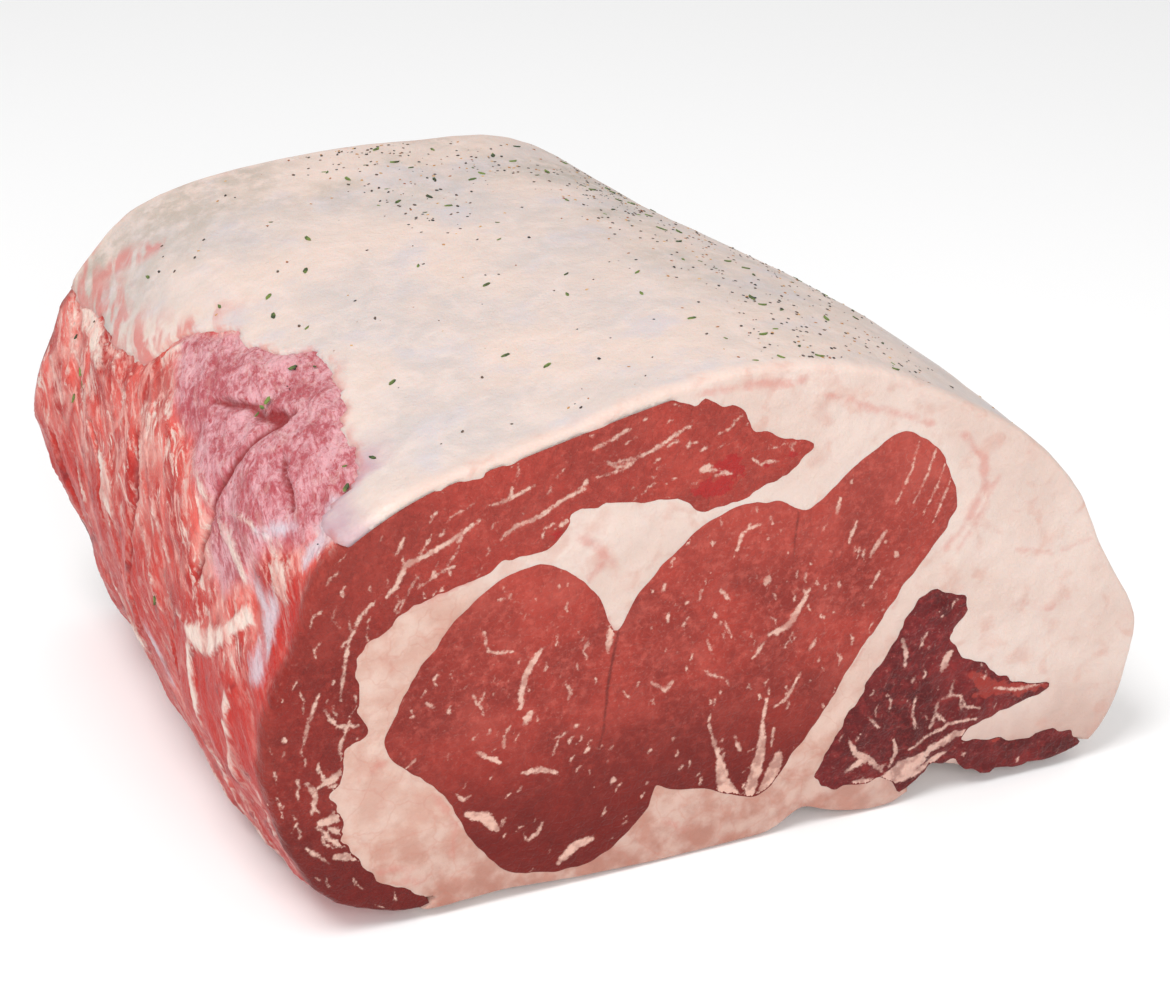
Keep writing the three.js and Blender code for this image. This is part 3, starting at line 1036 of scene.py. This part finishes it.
# %% Fat material
def fat_material():
    r = Recipe("raw_fat")
    cut, warm_and_shade = r.attribute("cut"), r.attribute("warm_and_shade")
    # The dried skin, with grey where the seasoning lies.
    skin = r.patches("D3BEB3", "C3B6B1", r.noise(36, 3), 0.4, 0.66)
    skin = r.patches(skin, "DCC9C1", r.noise(10, 5, distortion=0.8, roughness=0.6), 0.4, 0.7, 0.5)
    skin = r.patches(skin, "BFB8BD", r.noise(16, 4), 0.52, 0.72, 0.55)
    skin = r.patches(skin, "A89C90", r.noise(5, 5, roughness=0.65), 0.3, 0.62, r.attribute("dusty"), 0.8)
    # The fresh cut, warmer in the tail, partly its own tone and partly painted shade, and darker towards the
    # board as painted shade.
    fresh = r.patches("D6C1B7", "D0B8AD", r.noise(24, 3), 0.4, 0.65)
    fresh = r.blend(r.times(warm_and_shade, 0.85), fresh, "C2917F")
    height_up = r.add("ShaderNodeSeparateXYZ", {"Vector": r.place}).outputs["Z"]
    # Painted shade: the fresh cut darkens towards the board.
    painted_shade = r.times(r.band(height_up, 34 * MM, 2 * MM), 0.75)
    fresh = r.blend(painted_shade, fresh, r.blend(1.0, fresh, "D0B0A8", "MULTIPLY"))
    fresh = r.patches(fresh, "C38E7E", r.noise(7, 6, distortion=0.5), 0.5, 0.7, 0.42)
    more_with_warm_and_shade = r.band(warm_and_shade, 0.0, 1.0, 0.15, 0.42)
    fresh = r.patches(fresh, "E2CFC3", r.noise(9, 5, roughness=0.55), 0.38, 0.66, more_with_warm_and_shade)
    colour = r.blend(cut, skin, fresh)
    sheer = r.times(r.attribute("sheer"), r.band(r.noise(5, 4), 0.25, 0.6, 0.5, 1.0))
    colour = r.blend(sheer, colour, "B7979F")
    # Pink shows where the fat is thin over lean, in long faint fibres.
    fibres = r.noise(5, 5, r.squeezed((0.9, 0, 0), (1, 1, 0.25)), 0.6)
    colour = r.patches(colour, "C4625C", fibres, 0.4, 0.6, r.attribute("thin"), 0.9)
    vein = r.torn_mark("vein", r.noise(3.5, 5), 5.0, -1.2, 1.4)
    colour = r.blend(r.times(vein, 0.5), colour, "C4766A")
    lobes = r.cells(9.0, feature="DISTANCE_TO_EDGE", place=r.warped(7, 4))
    colour = r.patches(colour, "B8705E", lobes, 0.05, 0.0, warm_and_shade, 0.2, cut)
    lump = r.math("ADD", r.noise(4, 4), r.times(r.noise(0.9, 3), 0.35))
    roughness = r.band(r.noise(12, 3), 0.3, 0.7, 0.4, 0.6)
    return r.finish(colour, roughness, lump, 0.45, Subsurface_Weight=0.22, Subsurface_Scale=0.003,
                    Subsurface_Radius=(1, 0.5, 0.35), Specular_IOR_Level=0.4, Coat_Weight=0.06,
                    Coat_Roughness=0.3)


# %% [markdown]
# ## Lean
# A cut muscle is a bed of fibre bundles seen end on: faint cells two millimetres across, darker and lighter
# patches, and specks of fat. The placed marbling lies over that. On the torn lip side the same muscle is
# brighter, and its fat runs in long strands down the fibres.


# %% Lean as the knife leaves it
def cut_lean(r, dark, mid, bright, fat, shade, mark, bundles):
    """The colour of a cut face without its marbling, with painted shade and painted light. shade is how
    strongly the painted shade darkens it towards the board and to the left.
    """
    across, _, height_up = r.add("ShaderNodeSeparateXYZ", {"Vector": r.place}).outputs
    colour = r.patches(dark, mid, r.noise(17, 4, distortion=0.5), 0.32, 0.68)
    colour = r.patches(colour, bright, r.noise(2.4, 6, roughness=0.7), 0.46, 0.66, 0.6)
    colour = r.patches(colour, fat, r.noise(0.9, 3), 0.58, 0.76, 0.2)
    colour = r.patches(colour, dark, r.noise(2.6, 5, roughness=0.6), 0.5, 0.3, 0.45)
    # A bloom of brighter red in soft patches, and long faint darker fibres.
    colour = r.patches(colour, bright, r.noise(13, 3), 0.5, 0.72, 0.4)
    long_fibre = r.noise(3.2, 4, r.squeezed((0, 0.5, 0), (1, 1, 0.25)), 0.8)
    colour = r.patches(colour, dark, long_fibre, 0.52, 0.7, 0.35)
    colour = r.patches(colour, bright, bundles, 0.1, 0.0, 0.14)
    # Painted shade: darker towards the board and towards the left of the face.
    shade_to_the_left = r.band(across, -52 * MM, -96 * MM, 0, 0.45)
    painted_shade = r.times(r.math("MAXIMUM", r.band(height_up, 62 * MM, 14 * MM), shade_to_the_left), shade)
    colour = r.blend(r.times(painted_shade, 0.55), colour, dark)
    colour = r.blend(painted_shade, colour, r.blend(1.0, colour, "C08478", "MULTIPLY"))
    # Painted light: brighter towards the top of the face.
    colour = r.patches(colour, bright, height_up, 70 * MM, 110 * MM, 0.3)
    name, tint, reach = mark
    stain = r.torn_mark(name, r.noise(2.2, 5), reach, -0.2, 0.6)
    return r.blend(r.times(stain, 0.8), colour, tint)


def marbling(r):
    """How much fat shows on a cut: placed streaks, a frayed border, and specks."""
    streak = r.torn_mark("marble", r.noise(1.6, 6, roughness=0.7), 2.6, -0.3, 0.4)
    streak = r.times(streak, r.band(r.noise(3.5, 4), 0.35, 0.55, 0.5, 1.0))
    fray = r.math("ADD", r.attribute("inward"), r.times(r.noise(1.7, 5, roughness=0.65), 2.4))
    pale = r.math("MAXIMUM", streak, r.times(r.band(fray, 1.25, 0.95), 0.8))
    some = r.math("GREATER_THAN", r.cells(3.1, "Color"), 0.6)
    return r.math("MAXIMUM", pale, r.times(r.band(r.cells(3.1), 0.15, 0.07), some, 0.75))


# %% Lean as it tears
def torn_lean(r, side, fibre):
    """The bare lip side: fibres, a violet patch, raw red towards its foot, strands, silverskin, cracks."""
    raw, violet = r.attribute("raw"), r.attribute("violet")
    bare = r.patches(side["deep"], side["red"], r.noise(8, 5, fibre, 0.6), 0.34, 0.66)
    bare = r.patches(bare, side["pink"], r.noise(3, 5, fibre, 0.4, 0.65), 0.49, 0.64, 0.85)
    calm = r.band(raw, 0.0, 1.0, 1.0, 0.0)
    bare = r.patches(bare, side["pink"], r.noise(15, 4, distortion=0.8), 0.44, 0.64, calm, 0.65)
    grain = r.math("ADD", r.noise(1.3, 5, fibre, 0.5, 0.75), r.times(r.noise(9, 3), 0.7))
    bloom = r.patches(side["violet"], side["lilac"], grain, 0.68, 1.02)
    bloom = r.patches(bloom, side["deep"], r.noise(1.1, 3), 0.6, 0.72, 0.6)
    bare = r.blend(violet, bare, bloom)
    bare = r.patches(bare, side["raw"], r.noise(5, 5, fibre), 0.15, 0.6, raw)
    bare = r.patches(bare, side["gash"], r.noise(7, 4), 0.55, 0.75, raw)
    strand = r.band(r.noise(4.6, 6, fibre, 2.0, 0.68), 0.5, 0.64)
    strand = r.times(strand, r.band(r.noise(16, 3), 0.36, 0.58), r.band(raw, 0.0, 1.0, 0.9, 0.3))
    strand = r.times(strand, r.math("SUBTRACT", 1.0, r.times(violet, 0.8)))
    torn = r.noise(2.6, 6, fibre, 0.6, 0.7)
    placed = r.torn_mark("strand", torn, 7.5, -0.8, 1.6)
    placed = r.times(placed, r.band(r.noise(3.5, 5, fibre), 0.34, 0.58, 0.35, 1.0))
    bare = r.blend(r.math("MAXIMUM", strand, placed), bare, side["strand"])
    silver = r.torn_mark("silver", torn, 7.5, -1.6, 2.2)
    silver = r.times(silver, r.band(r.noise(4, 5, fibre), 0.34, 0.56, 0.4, 1.0), 0.8)
    bare = r.blend(silver, bare, side["silver"])
    return r.patches(bare, side["gash"], r.attribute("crack"), -0.7, 0.6, 0.85)


# %% Lean material
def lean_material(name, dark, mid, bright, fat, shade, mark, side):
    """mark is its name, tint and how far its outline wanders. side holds the colours of a bare side."""
    r = Recipe(name)
    bundles = r.cells(2.2, feature="DISTANCE_TO_EDGE")
    colour = cut_lean(r, dark, mid, bright, fat, shade, mark, bundles)
    pale = marbling(r)
    height = r.math("ADD", r.noise(1.1, 4), r.times(r.band(bundles, 0.0, 0.2), 0.3))
    if side:
        fibre = r.squeezed((0.9, 0, 0), (1.0, 1.0, 0.28))
        cut = r.attribute("cut")
        colour = r.blend(cut, torn_lean(r, side, fibre), colour)
        pale = r.times(pale, cut)
        height = r.math("ADD", height, r.times(r.noise(2.2, 6, fibre, 0.6, 0.6), 3.2))
    colour = r.blend(pale, colour, fat)
    roughness = r.band(r.noise(5, 3), 0.3, 0.7, 0.3, 0.5)
    return r.finish(colour, roughness, height, 0.3, Subsurface_Weight=0.08, Subsurface_Scale=0.002,
                    Subsurface_Radius=(1, 0.25, 0.15), Specular_IOR_Level=0.2, Coat_Weight=0.1,
                    Coat_Roughness=0.16)


# %% [markdown]
# ## Marks for the materials
# The materials read a few numbers stored on each vertex: how thin the fat is over the lean, where the
# seasoning greys it, where pink veins cross the cut fat, and what covers the bare lean of the lip side.

# %% Marks on the fat
VEIN_STROKES = [
    (2.0, (69, 108), (75, 98), (77, 90), (71, 81), (66, 75)),
    (1.0, (80, 92), (76, 84), (70, 74)),
    (0.5, (87, 71), (99, 67), (110, 69)),
    (0.5, (90, 54), (98, 51), (104, 53)),
    (1.4, (31, 124), (45, 118), (60, 111)),
    (1.4, (-4, 130), (12, 130.5), (25, 129)),
    (2.2, (-24, 90), (-28, 96), (-33, 99)),
    (1.4, (-32, 84), (-25, 92)),
    (1.2, (-88, 45), (-81, 49), (-78, 55)),
    (1.5, (-84, 13), (-72, 11.5)),
    (1.2, (-86, 17), (-75, 16)),
    (3.4, (-52, 14), (-49, 20)),
    (1.1, (-70, 36), (-64, 28), (-66, 18)),
    (1.2, (22, 18), (30, 30), (42, 48), (55, 68)),
    (1.6, (-9, 12), (-4, 9)),
]
SWATH = [(9.0, (156, 166), (150, 160), (145, 152))]  # thin fat at the back of the shoulder
fat, corners, zone = made["fat"]
y = corners[:, 1]
along = y - FRONT
angle, radius = around(corners)
skin_place = on_skin(angle, y)
bare = bare_depth(angle, y, skin_place)
top_side = step_between(30, 60, angle) * step_between(180, 150, angle)
thin = step_between(-17, -2, bare) * step_between(98, 114, along) * top_side
thin = np.maximum(thin, 0.6 * step_between(-3.0, -0.5, bare) * top_side)
swath = stroke_depth(laid_flat(angle, y, corners, 1.6), unrolled(SWATH), 0.5)
thin = np.maximum(thin, 0.75 * step_between(-2.5, 3.5, swath))
patchy = step_between(-0.35, 0.4, layered(skin_place, 18, 3, 121))
dusty = step_between(96, 66, angle) * step_between(20, 50, angle) * patchy
dusty = dusty * (0.3 + 0.7 * step_between(30, 110, along))
dusty = np.maximum(dusty, step_between(110, 172, along) * patchy * top_side)
x, z = corners[:, 0], corners[:, 2]
# Warm tone of the cut fat: towards the board it is partly painted shade, and along the strip at the left it
# is the fat's own tone.
warm_and_shade = step_between(80, 22, z) * step_between(76, 30, x)
warm_and_shade = np.maximum(warm_and_shade, 0.9 * step_between(-46, -62, x) * step_between(100, 84, z))
give(fat, "cut", cut_share(corners, zone))
give(fat, "thin", thin * (zone == 0))
give(fat, "dusty", dusty * (zone == 0))
sheer = step_between(-11, -3, bare) * step_between(30, 16, along) * step_between(136, 144, angle)
sheer = sheer * top_side * step_between(4, 2.5, skin_radius(angle, y) - radius)
give(fat, "sheer", sheer * (zone == 0))
give(fat, "warm_and_shade", warm_and_shade)
store_strokes("fat", "vein", VEIN_STROKES, 0.8, 125, 0.5)

# %% Marks on the bare lip side
# Points here are an angle in degrees and millimetres from the front cut.
VIOLET_EDGE = [(151, 112), (148, 100), (143, 88), (138, 60), (140, 40), (146, 20), (151, 12), (158, 12),
               (161, 22), (166, 27), (171, 36), (168, 46), (163, 52), (160, 70), (157, 90)]
SILVER = [
    (6.5, (165, 23), (167, 14), (171, 12), (175, 10)),
    (7.0, (152, 14), (155, 8), (159, 8)),
    (3.0, (160, 27), (157, 18)),
    (4.0, (186, 78), (192, 70)),
]
cap, corners, _ = made["rib_cap"]
y = corners[:, 1]
angle, _ = around(corners)
flat = laid_flat(angle, y, corners, 1.6)
violet_edge = np.array(VIOLET_EDGE) * (TURN, 1)
far = border_distance(flat, [even_walk(violet_edge, 260)])
signed = np.where(inside(flat, [violet_edge]), far, -far)
give(cap, "violet", step_between(-3.5, 3.0, signed))
give(cap, "strand", stroke_depth(flat, unrolled(STRANDS), 0.35))
give(cap, "silver", stroke_depth(flat, unrolled(SILVER), 0.5))
give(cap, "crack", stroke_depth(laid_flat(angle, y, corners, 1.2), unrolled(CRACKS), 0.4))
raw = step_between(168, 182, angle + 6 * layered(corners, 20, 2, 133))
raw = np.maximum(raw, step_between(24, 8, y - FRONT) * step_between(160, 166, angle))
give(cap, "raw", raw)

# %% Dress the pieces
SIDE = {"deep": "A4241F", "red": "D8584D", "pink": "E0A297", "violet": "A84A52", "lilac": "D39CA2",
        "raw": "B2261E", "gash": "861E20", "strand": "E2CBBF", "silver": "CBC0C8"}
# Each muscle: its material's name, dark, middle and bright red, its fat, how strongly painted shade darkens
# it, a mark, and the side's colours.
LEANS = {
    "rib_eye": ("lean_eye", "82271F", "A2362B", "B85347", "D8AE9E", 1.0, ("seam", "55140F", 0.5), None),
    "rib_cap": ("lean_cap", "7B1F17", "9B2D23", "B54A3E", "D9B2A2", 1.0, ("blood", "A51C1E", 7.0), SIDE),
    "chine_muscle": ("lean_chine", "4E080A", "6C1417", "94302E", "D2AA9C", 0.2, ("tongue", "9A352C", 5.0),
                     None),
}
materials = {"fat": fat_material()}
materials |= {node: lean_material(*look) for node, look in LEANS.items()}
for node, (piece, _, _) in made.items():
    piece.data.materials.append(materials[node])
print("materials:", ", ".join(m.name for m in materials.values()))

# %% [markdown]
# ## Seasoning
# Somebody has already rubbed the roast: flecks of green herb, broken pepper and a few crumbs of spice cling
# to its skin, thickest along the right shoulder and towards the back. Each kind is one small rough shape.
# Geometry Nodes puts a copy at each point, turned to the skin, and the result is made into a mesh.


# %% Points on the skin
def skin_facing(angle, y):
    """The direction out of the skin."""
    across = on_skin(angle + 0.6, y) - on_skin(angle - 0.6, y)
    inward = on_skin(angle, y + 1.5) - on_skin(angle, y - 1.5)
    out = np.cross(inward, across)
    spoke = from_polar(angle, 1.0, y) - from_polar(angle, 0.0, y)
    out *= np.sign((out * spoke).sum(1))[:, None]
    return out / np.linalg.norm(out, axis=1)[:, None]


def resting_points(spots, sink):
    """Skin points and outward directions for spots given as angle and millimetres from the front cut."""
    angle = spots[:, 0]
    y = np.clip(FRONT + spots[:, 1], FRONT + 4, BACK - 4)
    height, bare = fat_height(angle, y)
    lean = skin_radius(angle, y) - 0.5
    return from_polar(angle, np.where(bare > 0, lean, height) - sink, y), skin_facing(angle, y)


def strewn(count, spread, seed):
    """Seeded spots: most in loose clusters, the rest anywhere on the top."""
    rng = np.random.default_rng(seed)
    clusters = [(67, 98), (64, 120), (66, 63), (62, 38), (74, 16), (52, 12), (106, 130), (62, 133), (57, 158),
                (96, 160), (112, 168), (80, 150), (48, 90), (44, 60)]
    chosen = rng.integers(0, len(clusters), count)
    spots = np.array(clusters)[chosen] + rng.normal(0, 1, (count, 2)) * spread
    anywhere = rng.uniform((38, 6), (165, 174), (count // 5, 2))
    spots = np.vstack([spots, anywhere])
    spots[:, 1] = np.abs(spots[:, 1])
    spots[:, 1] = 176 - np.abs(176 - spots[:, 1])
    return spots


# %% Shapes to strew
# A Random Value node has one set of sockets for each kind of number: these are the ones for a plain number.
RANDOM_LEAST, RANDOM_MOST, RANDOM_NUMBER = 2, 3, 1
FULL_TURN = 6.283
SMALLEST, LARGEST = 0.55, 1.5  # the copies, as shares of their kind's size


def rough_shape(name, proportions, seed, material):
    """A small closed lump, flattened to its proportions, bent, and roughened."""
    ball = bmesh.new()
    bmesh.ops.create_icosphere(ball, subdivisions=1, radius=0.5)
    rng = np.random.default_rng(seed)
    long, wide, thick = proportions
    for corner in ball.verts:
        corner.co = corner.co * float(rng.uniform(0.72, 1.2))
        corner.co.x *= long
        corner.co.y *= wide * (1.1 - abs(corner.co.x) / long)
        corner.co.z = corner.co.z * thick + 0.18 * corner.co.x**2 / long
    mesh = bpy.data.meshes.new(name)
    ball.to_mesh(mesh)
    ball.free()
    mesh.materials.append(material)
    return new_object(name, mesh)


def strewing(name, shape, material):
    """A Geometry Nodes recipe that puts the shape on every point, with a size and a seed as inputs."""
    group = bpy.data.node_groups.new(name, "GeometryNodeTree")
    face = group.interface
    face.new_socket("Points", in_out="INPUT", socket_type="NodeSocketGeometry")
    sockets = {}
    for title, kind in (("Size", "NodeSocketFloat"), ("Seed", "NodeSocketInt")):
        sockets[title] = face.new_socket(title, in_out="INPUT", socket_type=kind).identifier
    face.new_socket("Geometry", in_out="OUTPUT", socket_type="NodeSocketGeometry")
    tree = Nodes(group)
    given = tree.add("NodeGroupInput").outputs
    source = tree.add("GeometryNodeObjectInfo", {"Object": shape})
    tilt = tree.add("GeometryNodeInputNamedAttribute", {"Name": "tilt"}, data_type="FLOAT_VECTOR")
    upright = tree.add("FunctionNodeEulerToRotation", {"Euler": tilt.outputs["Attribute"]})
    spin = tree.add("FunctionNodeRandomValue", {RANDOM_MOST: FULL_TURN, "Seed": given["Seed"]})
    spin = tree.add("ShaderNodeCombineXYZ", {"Z": spin.outputs[RANDOM_NUMBER]})
    spin = tree.add("FunctionNodeEulerToRotation", {"Euler": spin.outputs[0]})
    turns = {"Rotation": upright.outputs[0], "Rotate By": spin.outputs[0]}
    turned = tree.add("FunctionNodeRotateRotation", turns, rotation_space="LOCAL")
    limits = {RANDOM_LEAST: SMALLEST, RANDOM_MOST: LARGEST, "Seed": given["Seed"]}
    scale = tree.add("FunctionNodeRandomValue", limits)
    sizes = {0: scale.outputs[RANDOM_NUMBER], 1: given["Size"]}
    scale = tree.add("ShaderNodeMath", sizes, operation="MULTIPLY")
    placed = tree.add("GeometryNodeInstanceOnPoints", {
        "Points": given["Points"], "Instance": source.outputs["Geometry"],
        "Rotation": turned.outputs[0], "Scale": scale.outputs[0],
    })
    real = tree.add("GeometryNodeRealizeInstances", {0: placed.outputs[0]})
    painted = tree.add("GeometryNodeSetMaterial", {"Geometry": real.outputs[0], "Material": material})
    tree.add("NodeGroupOutput", {0: painted.outputs[0]})
    return group, sockets


def strew(name, shape, material, spots, size, sink, seed):
    """A plain mesh of the shape at every spot."""
    place, out = resting_points(spots, sink)
    points = bpy.data.meshes.new(name + "_points")
    points.from_pydata((place * MM).tolist(), [], [])
    tilt = points.attributes.new("tilt", "FLOAT_VECTOR", "POINT")
    turns = [Vector(direction).to_track_quat("Z", "Y").to_euler() for direction in out]
    tilt.data.foreach_set("vector", np.array(turns, np.float32).ravel())
    holder = new_object(name + "_points", points)
    group, sockets = strewing(name, shape, material)
    nodes = holder.modifiers.new("strew", "NODES")
    nodes.node_group = group
    nodes[sockets["Size"]] = size * MM
    nodes[sockets["Seed"]] = seed
    bpy.context.view_layer.update()
    ready = holder.evaluated_get(bpy.context.evaluated_depsgraph_get())
    mesh = bpy.data.meshes.new_from_object(ready)
    piece = new_object(name, mesh)
    bpy.data.objects.remove(holder)
    bpy.data.objects.remove(shape)
    print(name, len(spots), "copies,", len(mesh.polygons), "faces")
    return piece


# %% Strew them
def crumb_material(name, dark, pale, roughness):
    r = Recipe(name)
    colour = r.blend(r.band(r.noise(2.5, 3), 0.35, 0.65), dark, pale)
    return r.finish(colour, roughness, r.noise(0.4, 3), 0.08)


HERB_SINGLES = [(145, 109), (149, 143), (131, 140), (141, 93), (116, 162), (102, 171), (90, 167), (90, 141),
                (145, 19), (133, 108), (149, 62), (142, 64), (139, 81), (111, 76), (144, 68), (151, 60),
                (150, 61), (166, 150), (167, 146), (170, 150), (176, 88), (178, 84), (180, 70), (163, 160),
                (118, 95), (100, 60), (120, 40), (86, 30), (96, 110), (84, 62)]
SLOTS = {"herb_flecks": "herb", "pepper_grains": "pepper", "spice_crumbs": "spice"}
# Each kind: proportions and seed of its shape, paint, count, spread and seed of its places, size in
# millimetres, how deep it sinks, and the seed of its turns.
KINDS = {
    "herb_flecks": ((1.2, 0.75, 0.35), 153, ("2C3A1C", "6B7F35", 0.6), (70, (6, 9), 151), 1.7, 0.05, 155),
    "pepper_grains": ((1.1, 0.9, 0.7), 157, ("1D1815", "5A4638", 0.5), (480, (6, 11), 159), 0.8, 0.08, 161),
    "spice_crumbs": ((1.2, 0.8, 0.5), 163, ("8A4A2A", "C79A5C", 0.6), (260, (9, 14), 165), 0.8, 0.1, 167),
}
seasoning = {}
for name, (proportions, shape_seed, paint, spread, size, sink, seed) in KINDS.items():
    material = crumb_material(SLOTS[name], *paint)
    shape = rough_shape(name + "_shape", proportions, shape_seed, material)
    spots = strewn(*spread)
    if name == "herb_flecks":
        spots = np.vstack([HERB_SINGLES, spots])
    seasoning[name] = strew(name, shape, material, spots, size, sink, seed)

# %% [markdown]
# ## Stage
# A plain pale floor and soft light from above, a little stronger from the left, as in a small studio.

# %% Floor, lights and world
FLOOR_SIZE = 6.0
half = FLOOR_SIZE / 2
floor_corners = [(-half, -half, 0), (half, -half, 0), (half, half, 0), (-half, half, 0)]
floor_mesh = bpy.data.meshes.new("floor")
floor_mesh.from_pydata(floor_corners, [], [(0, 1, 2, 3)])
floor = new_object("floor", floor_mesh)
paint = bpy.data.materials.new("floor_paint")
paint.use_nodes = True
finish = paint.node_tree.nodes["Principled BSDF"].inputs
finish["Base Color"].default_value = light("FAFAFA")
finish["Roughness"].default_value = 0.9
floor_mesh.materials.append(paint)


def soft_light(name, place, target, size, power):
    lamp = bpy.data.lights.new(name, "AREA")
    lamp.shape = "DISK"
    lamp.size = size
    lamp.energy = power
    stand = new_object(name, lamp)
    stand.location = place
    stand.rotation_euler = (Vector(place) - Vector(target)).to_track_quat("Z", "Y").to_euler()


middle = (0, 0, 0.06)
soft_light("key", (-0.5, -0.35, 1.2), middle, size=0.6, power=9)
soft_light("front", (-0.2, -1.3, 0.8), middle, size=0.8, power=7)
world = bpy.data.worlds.new("studio")
bpy.context.scene.world = world
world.use_nodes = True
background = world.node_tree.nodes["Background"].inputs
background["Color"].default_value = (1, 1, 1, 1)
background["Strength"].default_value = 0.66
bpy.context.scene.view_settings.view_transform = "Standard"

# %% [markdown]
# ## Hand over
# Every piece rides on the one body, and the imported solids of the fat and the muscles are hidden.

# %% Hand over
for node, (piece, _, _) in made.items():
    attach(piece, "root")
    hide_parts(node)
for name, piece in seasoning.items():
    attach(piece, "root")
